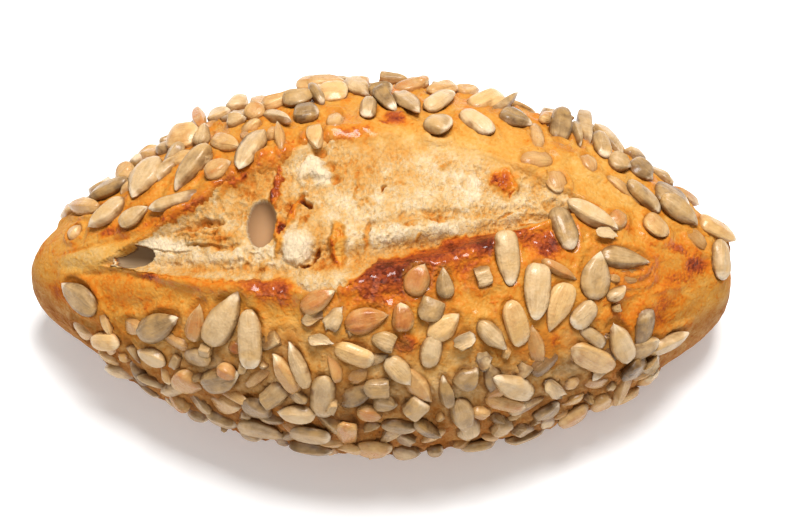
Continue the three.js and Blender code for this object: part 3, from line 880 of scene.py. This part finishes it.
def make_dough_material():
    """Crust and crumb in one: the values on the mesh say how brown, how dull and how torn each place is."""
    material, wires = start_material("baked dough")
    place = wires.node("ShaderNodeTexCoord", {}, {}, "Object")
    brown = named_value(wires, "browning")
    dull = named_value(wires, "dulling")
    crumb = named_value(wires, "crumb")
    coarse = noise(wires, place, 0.003)
    fine = noise(wires, place, 0.0006, 3)
    specks = noise(wires, place, 0.0011, 1).between(0.6, 0.74)
    wobble = wires.node("ShaderNodeTexNoise", {}, {"Vector": place, "Scale": 900}, "Color")
    uneven = place.vector("ADD", wobble.scaled(0.0008))
    porous = {"Vector": uneven, "Scale": 1 / 0.0008, "Smoothness": 0.4}
    pores = wires.node("ShaderNodeTexVoronoi", {"feature": "SMOOTH_F1"}, porous, "Distance")
    fibres = noise(wires, place.vector("MULTIPLY", (1100, 600, 600)), 1, 3)
    crust_brown = brown + (coarse - 0.5) * 0.34 + (fine - 0.5) * 0.3 + (pores - 0.45) * 0.16 + specks * 0.12
    glazed = crust_brown.ramp(
        (0.0, (0.62, 0.39, 0.15)),
        (0.25, (0.58, 0.3, 0.065)),
        (0.45, (0.55, 0.22, 0.028)),
        (0.6, (0.54, 0.145, 0.008)),
        (0.75, (0.39, 0.075, 0.01)),
        (0.9, (0.22, 0.035, 0.01)),
        (1.0, (0.1, 0.014, 0.003)),
    )
    matt = (crust_brown + (coarse - 0.5) * 0.5).ramp(
        (0.1, (0.6, 0.43, 0.25)),
        (0.3, (0.45, 0.285, 0.135)),
        (0.5, (0.34, 0.18, 0.06)),
        (0.75, (0.27, 0.1, 0.015)),
    )
    cells = wires.node("ShaderNodeTexVoronoi", {}, {"Vector": uneven, "Scale": 1 / 0.0006}, "Distance")
    threads = 1 - (fibres - 0.5).math("ABSOLUTE").between(0.0, 0.035)
    # Cell middles, where the bump sinks, are browner: painted shade in the pits.
    crumb_brown = brown + (coarse - 0.5) * 0.3 + (fine - 0.5) * 0.26 + (0.4 - cells) * 0.16 - threads * 0.1
    crumbly = crumb_brown.ramp(
        (0.0, (0.68, 0.53, 0.34)),
        (0.14, (0.6, 0.42, 0.22)),
        (0.28, (0.55, 0.325, 0.12)),
        (0.45, (0.52, 0.24, 0.052)),
        (0.65, (0.44, 0.13, 0.013)),
        (0.85, (0.2, 0.05, 0.01)),
        (1.0, (0.07, 0.025, 0.01)),
    )
    smooth_hollow = brown.ramp((0, (0.34, 0.19, 0.09)), (1, (0.27, 0.18, 0.1)))
    # Round each kernel's foot the dough is darker: partly glaze gathered there, partly painted contact shade.
    glaze_and_contact_shade = dull.mix(rgb(0.46, 0.17, 0.022), rgb(0.15, 0.06, 0.018))
    crust_colour = (dull * (0.6 + coarse * 0.5)).mix(glazed, matt)
    rim = named_value(wires, "rim") * coarse.between(0.25, 0.7) * 0.75
    crust_colour = rim.mix(crust_colour, glaze_and_contact_shade)
    colour = crumb.mix(crust_colour, dull.mix(crumbly, smooth_hollow))
    gloss = named_value(wires, "glaze") * (1 - dull) * (1 - crumb)
    roughness = 0.72 - gloss * 0.36 + (fine - 0.5) * 0.3
    crust_relief = pores * (0.4 + brown.between(0.5, 0.75) * 1.1) + fine * 0.7 + coarse * 0.4 + specks * 0.2
    crumb_relief = cells * 0.35 + fine * 0.5 + threads * 0.25
    relief = crumb_relief * crumb * (1 - dull) + crust_relief * (1 - crumb)
    finish_material(wires, {
        "Base Color": colour,
        "Roughness": roughness,
        "Coat Weight": brown.between(0.25, 0.65) * gloss * 0.4,
        "Coat Roughness": 0.12,
        "Normal": relief.bumped(0.0003),
        "Subsurface Weight": 0.06,
        "Subsurface Radius": (1.0, 0.45, 0.15),
        "Subsurface Scale": 0.0012,
        "Specular IOR Level": 0.06,
    })
    return material


dough_material = make_dough_material()
crust_mesh.materials.append(dough_material)

# The crumb
# The soft inside of the dough, torn open along the top: a sponge of fine cells with stretched strands, gas
# bubbles and a crevice along the front lip. It is a pad of its own, whose edges dip under the crust's lips.
CRUMB_FROM = -62
CRUMB_TO = 45
CRUMB_COLUMNS = 460
CRUMB_ROWS = 190
CRUMB_MARGIN = 8
CRUMB_DEPTH = 5
BULGES = [
    {"x": -16.4, "girth": 73.4, "radii": (3.3, 4.1, 2.0)},
    {"x": -13, "girth": 97, "radii": (3.6, 3.4, 1.2)},
]
TEAR_MIDDLE = 84
STRETCH = np.array([1.1, 0.7, 0.7])
CELL_SIZE = 1.9
SMALL_CELL_SIZE = 0.7
CELL_DEPTH = 0.6
SMALL_CELL_DEPTH = 0.5
CREVICE_FILLING = 1.5
CRUMB_DIP = 3
CRUMB_BROWNING = 0.27
RIGHT_BROWNING = 0.11
USUAL_BROWNING = 0.42
BULGE_PALENESS = 0.24
STRAND_GLAZE = 0.5

columns = np.linspace(CRUMB_FROM, CRUMB_TO, CRUMB_COLUMNS)
rows = np.linspace(0, 1, CRUMB_ROWS)
crumb_x, share = np.meshgrid(columns, rows, indexing="ij")
front_edge = np.minimum(lip_girth(FRONT_LIP, crumb_x), TEAR_MIDDLE) - CRUMB_MARGIN
back_edge = np.maximum(lip_girth(BACK_LIP, crumb_x), TEAR_MIDDLE) + CRUMB_MARGIN
crumb_girth = front_edge + (back_edge - front_edge) * share
crumb_x, crumb_girth = crumb_x.ravel(), crumb_girth.ravel()
smooth_crumb = moulded_point(crumb_x, crumb_girth)
crumb_outward = outward_at(crumb_x, crumb_girth)
crumb_opening, _ = tear_at(crumb_x, crumb_girth)
crumb_side = ragged_side(crumb_x, crumb_girth, smooth_crumb)
stretched = smooth_crumb * STRETCH
spongy = 1 - 0.9 * soft_step(np.abs(crumb_side), 0.7, 1.0) * soft_edge(crumb_x, crumb_side)
cell = soft_step(0.75 - pits(stretched, CELL_SIZE, 1), 0, 0.6)
small_cell = soft_step(0.7 - pits(stretched, SMALL_CELL_SIZE, 2), 0, 0.5)
small_cell = small_cell * soft_step(rough(smooth_crumb, 2.5, 14), -0.3, 0.3)
sponge = soft_step(rough(smooth_crumb, 6, 12), -0.3, 0.5)
bubbles = bubble_relief(smooth_crumb)
in_bubble = soft_step(-bubbles, 0.4, 1.2)
bulges = np.zeros(len(smooth_crumb))
bulge_brown = 0
for bulge in BULGES:
    reach = bubble_reach(smooth_crumb, bulge) * (1 + 0.5 * rough(smooth_crumb, 2.4, 51))
    bulges += bulge["radii"][2] * np.maximum(1 - reach, 0) ** 0.7
    bulge_brown = bulge_brown - BULGE_PALENESS * soft_step(1.2 - reach, 0, 0.8)
spongy = spongy * (1 - 0.7 * soft_step(bulges, 0.2, 0.8)) * (1 - in_bubble)
hollow = spongy * (CELL_DEPTH * sponge * cell + SMALL_CELL_DEPTH * small_cell)
crevice_filling = CREVICE_FILLING * bell(crumb_side, CREVICE["side"], CREVICE["breadth"])
crevice_filling = crevice_filling * soft_step(-5 - crumb_x, 0, 8)
crisp_relief, crisp_brown, _ = forms_at(crumb_x, crumb_girth, CRUMB_FORMS, CRISP)
fading_relief, fading_brown, _ = forms_at(crumb_x, crumb_girth, CRUMB_FADES, FADING)
strand_relief, strand_brown, strands = forms_at(crumb_x, crumb_girth, STRANDS, CRISP)
crumb_relief = tear_relief(crumb_x, crumb_girth) + bubbles + bulges - hollow + crevice_filling
crumb_relief += (1 - in_bubble) * (crisp_relief + fading_relief + strand_relief)
lumps = 0.3 * rough(smooth_crumb, 5, 11) + 0.14 * rough(stretched, 1.4, 13)
crumb_relief += unevenness(smooth_crumb) + spongy * lumps
dip_width = 0.24 + 0.5 * soft_edge(crumb_x, crumb_side)
dip = soft_step(np.abs(crumb_side) - 1.0, 0, dip_width)
crumb_relief -= CRUMB_DIP * np.maximum(dip, 1 - soft_step(crumb_opening, 1.5, 6))
crumb_points = smooth_crumb + crumb_relief[:, None] * crumb_outward

top = np.arange(CRUMB_COLUMNS * CRUMB_ROWS).reshape(CRUMB_COLUMNS, CRUMB_ROWS)
faces = np.stack([top[:-1, :-1], top[1:, :-1], top[1:, 1:], top[:-1, 1:]], axis=-1).reshape(-1, 4).tolist()
front_sunk = crumb_points[top[:, 0]] - CRUMB_DEPTH * crumb_outward[top[:, 0]]
back_sunk = crumb_points[top[:, -1]] - CRUMB_DEPTH * crumb_outward[top[:, -1]]
under_front = len(crumb_points) + np.arange(CRUMB_COLUMNS)
under_back = under_front + CRUMB_COLUMNS
for i in range(CRUMB_COLUMNS - 1):
    faces.append([top[i, 0], under_front[i], under_front[i + 1], top[i + 1, 0]])
    faces.append([top[i + 1, -1], under_back[i + 1], under_back[i], top[i, -1]])
    faces.append([under_front[i], under_back[i], under_back[i + 1], under_front[i + 1]])
faces.append([under_front[0], *top[0], under_back[0]])
faces.append([under_back[-1], *top[-1][::-1], under_front[-1]])
crumb_points = np.vstack([crumb_points, front_sunk, back_sunk])
crumb_mesh = make_mesh("crumb", crumb_points, faces)
crust_brown = browning_at(crumb_x, crumb_girth, smooth_crumb, 0)
torn = crumb_share(crumb_x, crumb_side, crumb_opening)
crumb_brown = CRUMB_BROWNING + RIGHT_BROWNING * soft_step(crumb_x, -8, 8)
crumb_brown += 0.3 * (crust_brown - USUAL_BROWNING)
crumb_brown += 0.7 * crisp_brown + fading_brown + bulge_brown + strand_brown
# Deeper cells are made browner: painted shade in the pits.
crumb_brown += 0.16 * rough(smooth_crumb, 5, 21) + 0.12 * rough(stretched, 1.2, 22) + 0.22 * (hollow - 0.3)
bubble_brown = soft_step(crumb_x, -30, -44) + 0.4 * rough(smooth_crumb, 4, 23)
pad_brown = np.where(in_bubble > 0, bubble_brown, crust_brown + torn * (crumb_brown - crust_brown))
unseen = np.zeros(2 * CRUMB_COLUMNS)
give_values(
    crumb_mesh,
    browning=np.append(pad_brown, unseen),
    dulling=np.append(in_bubble, unseen),
    crumb=np.append(torn * (1 - strands), unseen),
    glaze=np.append(STRAND_GLAZE * strands, unseen),
)
add_piece("crumb", crumb_mesh)
crumb_mesh.materials.append(dough_material)

# The kernels
# Hulled sunflower kernels: flat teardrops with a rounded tail, a whitish tip and fine lines along them. Some
# are broken. Those of like colour are one piece, set out by Geometry Nodes on the places found above.
KERNEL_RINGS = 11
EDGE_SHARE = 0.2
SIDE_POWER = 0.85
BEND_MIDDLE = 0.4
GROOVE_BREADTH = 0.25
DENT_SHARES = (0.8, 1.3, 1.3)
WHOLE_SHAPES = 12
BROKEN_SHAPES = 7
FLAKE_SHAPES = 4
BIT_SHAPES = 4
SHAPE_RANGES = {
    "broken": (WHOLE_SHAPES, BROKEN_SHAPES),
    "flake": (WHOLE_SHAPES + BROKEN_SHAPES, FLAKE_SHAPES),
    "bit": (WHOLE_SHAPES + BROKEN_SHAPES + FLAKE_SHAPES, BIT_SHAPES),
}
# Where each broken kernel begins and ends, -1 being a kernel's tail and 1 its tip.
BREAKS = [(-1, 0.2), (-0.5, 0.5), (-0.25, 1), (-0.8, 0.5), (-0.6, 0.8), (-0.4, 0.3), (-1, 0.5)]
THICKNESS_SPREAD = (0.75, 1.1)
TINT_SPREAD = 0.12
UNEVENNESS = 0.06
# How a tip narrows: the power of its outline, and how sharply it ends.
POINTED = (1.6, 0.95)
ROUNDED = (2.8, 0.6)
BLUNT = (4.5, 0.5)


def swollen(values):
    """Cosines or sines that give an oval fuller sides than a circle's."""
    return np.sign(values) * np.abs(values) ** SIDE_POWER


def kernel_mesh(name, seed, begin=-1, end=1, crumpled=0.1, thin=1, curl=0, rings=KERNEL_RINGS):
    """A kernel of size 1, its tip towards +X. One that begins or ends short of a pole is broken off there."""
    draw = np.random.default_rng(seed)
    bend = draw.uniform(-0.16, 0.16)
    widest = draw.uniform(-0.4, 0.05)
    tail_power = draw.uniform(2.3, 4)
    tip_power, tip_sharpness = (POINTED, ROUNDED, POINTED, POINTED, BLUNT)[seed % 5]
    corners = draw.integers(4, 7)
    angularity = draw.uniform(0.45, 1)
    groove = draw.choice([0, 0, 0.06, 0.12])
    along = -np.cos(np.linspace(0, math.pi, rings + 2))[1:-1]
    along = begin + (end - begin) * (along + 1) / 2
    slice_angle = 2 * math.pi / corners
    parts = [0, EDGE_SHARE, 0.5, 1 - EDGE_SHARE]
    angle = slice_angle * np.add.outer(np.arange(corners), parts).ravel()
    polygon = math.cos(slice_angle / 2) / np.cos(angle % slice_angle - slice_angle / 2)
    radius = 1 + angularity * (polygon - 1)
    angle = angle + 0.3 * seed
    sides = len(angle)
    tail = np.clip((widest - along) / (1 + widest), 0, 1)
    tip = np.clip((along - widest) / (1 - widest), 0, 1)
    breadth = (1 - tail**tail_power) ** 0.55 * (1 - tip**tip_power) ** tip_sharpness
    height = (1 - tail**3) ** 0.55 * (1 - tip**2.6) ** 0.7
    across = swollen(np.cos(angle)) * radius
    upward = swollen(np.sin(angle)) * radius
    y = breadth[:, None] * across + bend * (along[:, None] ** 2 - BEND_MIDDLE)
    z = thin * height[:, None] * upward + curl * (y**2 - BEND_MIDDLE)
    z = z - groove * bell(across, 0, GROOVE_BREADTH) * np.sign(upward) * height[:, None]
    x = np.broadcast_to(along[:, None], y.shape)
    points = np.stack([x, y, z], axis=-1).reshape(-1, 3)
    dents = np.stack([rough(points, 1.0, seed + 5 * i) for i in range(3)], axis=-1)
    points = points + crumpled * dents * DENT_SHARES
    ends = [[pole, bend * (pole**2 - BEND_MIDDLE), 0] for pole in (begin, end)]
    points = np.vstack([points, ends]) / 2
    mesh = bpy.data.meshes.new(name)
    faces = closed_faces(rings, sides)
    mesh.from_pydata(points.tolist(), [], faces)
    rounded = np.ones(len(faces), bool)
    rounded[-2 * sides:-sides] = begin == -1
    rounded[-sides:] = end == 1
    mesh.polygons.foreach_set("use_smooth", rounded)
    own = np.stack(np.broadcast_arrays(x, across, upward), axis=-1).reshape(-1, 3)
    give_values(mesh, "FLOAT_VECTOR", kernel_place=np.vstack([own, [[begin, 0, 0], [end, 0, 0]]]))
    return mesh


def make_kernel_shapes():
    """Whole kernels, broken ones, husk flakes and bits, in a collection that is only instanced."""
    meshes = [kernel_mesh("kernel", 50 + i) for i in range(WHOLE_SHAPES)]
    meshes += [kernel_mesh("broken kernel", 70 + i, *BREAKS[i], crumpled=0.2) for i in range(BROKEN_SHAPES)]
    meshes += [kernel_mesh("flake", 90 + i, crumpled=0.35, thin=0.3, curl=0.7) for i in range(FLAKE_SHAPES)]
    meshes += [kernel_mesh("bit", 110 + i, -0.7, 0.6, 0.45, rings=3) for i in range(BIT_SHAPES)]
    shapes = bpy.data.collections.new("kernel shapes")
    for i, mesh in enumerate(meshes):
        shapes.objects.link(bpy.data.objects.new(f"kernel {i:02d}", mesh))
    return shapes


TREE_INPUTS = {
    "Geometry": "Geometry", "Shapes": "Collection", "Kernel length": "Float", "Kernel width": "Float",
    "Kernel thickness": "Float", "Unevenness": "Float", "Seed": "Int", "Material": "Material",
}


def make_kernel_tree():
    """Sets a kernel on each point, turned and sized by the point's own values."""
    tree = bpy.data.node_groups.new("kernels on the crust", "GeometryNodeTree")
    for name, kind in TREE_INPUTS.items():
        tree.interface.new_socket(name, in_out="INPUT", socket_type="NodeSocket" + kind)
    tree.interface.new_socket("Geometry", in_out="OUTPUT", socket_type="NodeSocketGeometry")
    wires = Wire(tree)
    given = wires.node("NodeGroupInput").socket.node.outputs
    taken = {name: Wire(tree, given[name]) for name in TREE_INPUTS}
    stored = {
        name: wires.node("GeometryNodeInputNamedAttribute", {"data_type": kind}, {"Name": name}, "Attribute")
        for name, kind in (("turn", "FLOAT_VECTOR"), ("size", "FLOAT_VECTOR"), ("shape", "INT"))
    }
    shapes = {"Collection": taken["Shapes"], "Separate Children": True}
    size = {i: taken[name] for i, name in enumerate(("Kernel length", "Kernel width", "Kernel thickness"))}
    span = {"Min": (-1, -1, -1), "Max": (1, 1, 1), "Seed": taken["Seed"]}
    uneven = wires.node("FunctionNodeRandomValue", {"data_type": "FLOAT_VECTOR"}, span)
    near_one = uneven.scaled(taken["Unevenness"]).vector("ADD", (1, 1, 1))
    own_size = wires.node("ShaderNodeCombineXYZ", {}, size).vector("MULTIPLY", stored["size"])
    set_out = wires.node("GeometryNodeInstanceOnPoints", {}, {
        "Points": taken["Geometry"],
        "Instance": wires.node("GeometryNodeCollectionInfo", {}, shapes),
        "Pick Instance": True,
        "Instance Index": stored["shape"],
        "Rotation": wires.node("FunctionNodeEulerToRotation", {}, {0: stored["turn"]}),
        "Scale": own_size.vector("MULTIPLY", near_one),
    })
    real = wires.node("GeometryNodeRealizeInstances", {}, {"Geometry": set_out})
    painted = wires.node("GeometryNodeSetMaterial", {}, {"Geometry": real, "Material": taken["Material"]})
    wires.node("NodeGroupOutput", {}, {"Geometry": painted})
    return tree


kernel_shapes = make_kernel_shapes()
kernel_tree = make_kernel_tree()
crust_surface = BVHTree.FromPolygons(
    [tuple(point) for point in crust_points], [tuple(polygon.vertices) for polygon in crust_mesh.polygons]
)


def height_above_crust(points):
    """In millimetres, negative below it."""
    heights = np.zeros(len(points))
    for i, point in enumerate(points):
        nearest, normal, _, _ = crust_surface.find_nearest(Vector(point))
        heights[i] = (Vector(point) - nearest).dot(normal)
    return heights


def make_kernel_material(name, colours, tip_colour, stain_and_shade, roughness):
    """The tint picks each kernel's colour. Its tip is whitish, and glaze stain and painted shade darken its
    foot.
    """
    material, wires = start_material(name)
    golden = rgb(0.56, 0.32, 0.1)
    place = wires.node("ShaderNodeTexCoord", {}, {}, "Object")
    own = named_value(wires, "kernel_place", "Vector")
    tint = named_value(wires, "tint")
    height = named_value(wires, "height")
    # The sides and the underside are darker: partly the kernel's own browner edge, partly painted shade.
    rim = own.part("Y").math("ABSOLUTE").between(0.5, 1.0) * 0.6
    rim = rim + (1 - own.part("Z").between(-0.3, 0.5)) * 0.4
    shift = wires.node("ShaderNodeCombineXYZ", {}, {0: tint * 37, 1: tint * 91, 2: 0})
    lines = noise(wires, own.vector("MULTIPLY", (0.5, 3, 1.5)).vector("ADD", shift), 1 / 1.6, 4)
    blotches = noise(wires, place, 0.0022)
    specks = noise(wires, place, 0.0005, 3)
    shade = tint + (blotches - 0.5) * 0.8 + (lines - 0.5) * 0.36 + (specks - 0.5) * 0.2 - rim * 0.35
    colour = (noise(wires, place, 0.0034).between(0.46, 0.7) * 0.5).mix(shade.ramp(*colours), golden)
    colour = (own.part("X") + (blotches - 0.5) * 0.6).between(0.62, 0.95).mix(colour, tip_colour)
    # Darker near the dough: glaze stain and painted contact shade.
    foot = (1 - (height + (blotches - 0.5) * 1.6).between(0, 1)) * 0.8
    colour = foot.mix(colour, stain_and_shade)
    bump = (lines * 0.5 + specks * 0.35 + blotches * 0.9).bumped(0.0004)
    finish_material(wires, {
        "Base Color": colour,
        "Roughness": roughness + (specks - 0.5) * 0.3 + rim * 0.15,
        "Coat Weight": 0.35,
        "Coat Roughness": 0.2,
        "Normal": bump,
        "Subsurface Weight": 0.1,
        "Subsurface Radius": (1.0, 0.7, 0.4),
        "Subsurface Scale": 0.001,
        "Specular IOR Level": 0.2,
    })
    return material


def set_out_kernels(name, tints, material, seed):
    """Makes one piece of all kernels with these looks. Tints says how light or how toasted each look is."""
    chosen = [kernel for kernel in kernels if kernel["look"] in tints]
    points = make_mesh(name, [kernel["middle"] for kernel in chosen], [])
    turns, sizes, shapes, tint = [], [], [], []
    for kernel in chosen:
        turns.append(Matrix(kernel["axes"].tolist()).to_euler("XYZ"))
        vary = np.random.default_rng([int(10 * kernel[part]) + 1000 for part in ("x", "girth")])
        thickness = vary.uniform(*THICKNESS_SPREAD)
        sizes.append((kernel["length"] / KERNEL_LENGTH, kernel["breadth"] / KERNEL_WIDTH, thickness))
        first, count = SHAPE_RANGES.get(kernel["look"], (0, WHOLE_SHAPES))
        shapes.append(first + vary.integers(count))
        tint.append(np.clip(tints[kernel["look"]] + vary.uniform(-TINT_SPREAD, TINT_SPREAD), 0, 1))
    give_values(points, tint=tint)
    give_values(points, "FLOAT_VECTOR", turn=turns, size=sizes)
    give_values(points, "INT", shape=shapes)
    carrier = new_object(name, points)
    modifier = carrier.modifiers.new("kernels", "NODES")
    modifier.node_group = kernel_tree
    settings = {
        "Shapes": kernel_shapes,
        "Kernel length": KERNEL_LENGTH * MM,
        "Kernel width": KERNEL_WIDTH * MM,
        "Kernel thickness": KERNEL_THICKNESS * MM,
        "Unevenness": UNEVENNESS,
        "Seed": seed,
        "Material": material,
    }
    for item in kernel_tree.interface.items_tree:
        if item.in_out == "INPUT" and item.name in settings:
            modifier[item.identifier] = settings[item.name]
    evaluated = carrier.evaluated_get(bpy.context.evaluated_depsgraph_get())
    mesh = bpy.data.meshes.new_from_object(evaluated)
    mesh.name = name
    bpy.data.objects.remove(carrier)
    for spare in ("turn", "size", "shape"):
        if spare in mesh.attributes:
            mesh.attributes.remove(mesh.attributes[spare])
    places = np.zeros(3 * len(mesh.vertices), np.float32)
    mesh.vertices.foreach_get("co", places)
    give_values(mesh, height=height_above_crust(places.reshape(-1, 3) / MM))
    add_piece(name, mesh)


pale_material = make_kernel_material(
    "pale kernel",
    [
        (0.0, (0.12, 0.06, 0.02)), (0.3, (0.29, 0.17, 0.068)), (0.55, (0.44, 0.27, 0.115)),
        (0.95, (0.66, 0.455, 0.24)),
    ],
    rgb(0.74, 0.57, 0.37),
    # The foot's colour: glaze stain and painted contact shade.
    rgb(0.2, 0.08, 0.018),
    0.34,
)
toasted_material = make_kernel_material(
    "toasted kernel",
    [
        (0.05, (0.68, 0.42, 0.17)), (0.35, (0.52, 0.275, 0.095)), (0.65, (0.48, 0.18, 0.042)),
        (0.95, (0.3, 0.075, 0.012)),
    ],
    rgb(0.7, 0.5, 0.27),
    # The foot's colour: glaze stain and painted contact shade.
    rgb(0.36, 0.15, 0.03),
    0.3,
)
toasted_tints = {"yellow": 0.16, "tan": 0.36, "sunk": 0.2, "toasted": 0.6, "amber": 0.66}
set_out_kernels("pale_kernels", {"bright": 0.85, "pale": 0.64, "grey": 0.34}, pale_material, 11)
set_out_kernels("toasted_kernels", toasted_tints, toasted_material, 12)
set_out_kernels("broken_kernels", {"broken": 0.6, "flake": 0.85, "bit": 0.45}, pale_material, 13)
for shape in list(kernel_shapes.objects):
    bpy.data.objects.remove(shape)
bpy.data.collections.remove(kernel_shapes)

# The studio
# A pale floor under a large soft light from above and behind, with a weak one from the front left and weak
# light from all round.
FLOOR_SIZE = 6
FLOOR_GAP = 0.0002


def add_light(name, place, size, power):
    light = bpy.data.lights.new(name, "AREA")
    light.size = size
    light.energy = power
    holder = new_object(name, light)
    holder.location = place
    holder.rotation_euler = Vector(place).to_track_quat("Z", "Y").to_euler()


floor_mesh = bpy.data.meshes.new("floor")
half = FLOOR_SIZE / 2
corners = [(-half, -half, 0), (half, -half, 0), (half, half, 0), (-half, half, 0)]
floor_mesh.from_pydata(corners, [], [(0, 1, 2, 3)])
floor = new_object("floor", floor_mesh)
floor.location.z = -FLOOR_GAP
floor_material, floor_wires = start_material("floor")
finish_material(floor_wires, {
    "Base Color": rgb(0.9, 0.9, 0.9),
    "Roughness": 0.7,
    "Emission Color": rgb(1, 1, 1),
    "Emission Strength": 0.2,
})
floor_mesh.materials.append(floor_material)

add_light("softbox", (0.06, 0.14, 0.72), 0.3, 7.4)
add_light("fill", (-0.2, -0.5, 0.55), 0.4, 0.9)

world = bpy.data.worlds.new("studio")
bpy.context.scene.world = world
world.use_nodes = True
world.node_tree.nodes["Background"].inputs["Color"].default_value = rgb(1, 1, 1)
world.node_tree.nodes["Background"].inputs["Strength"].default_value = 0.32
bpy.context.scene.view_settings.view_transform = "Standard"
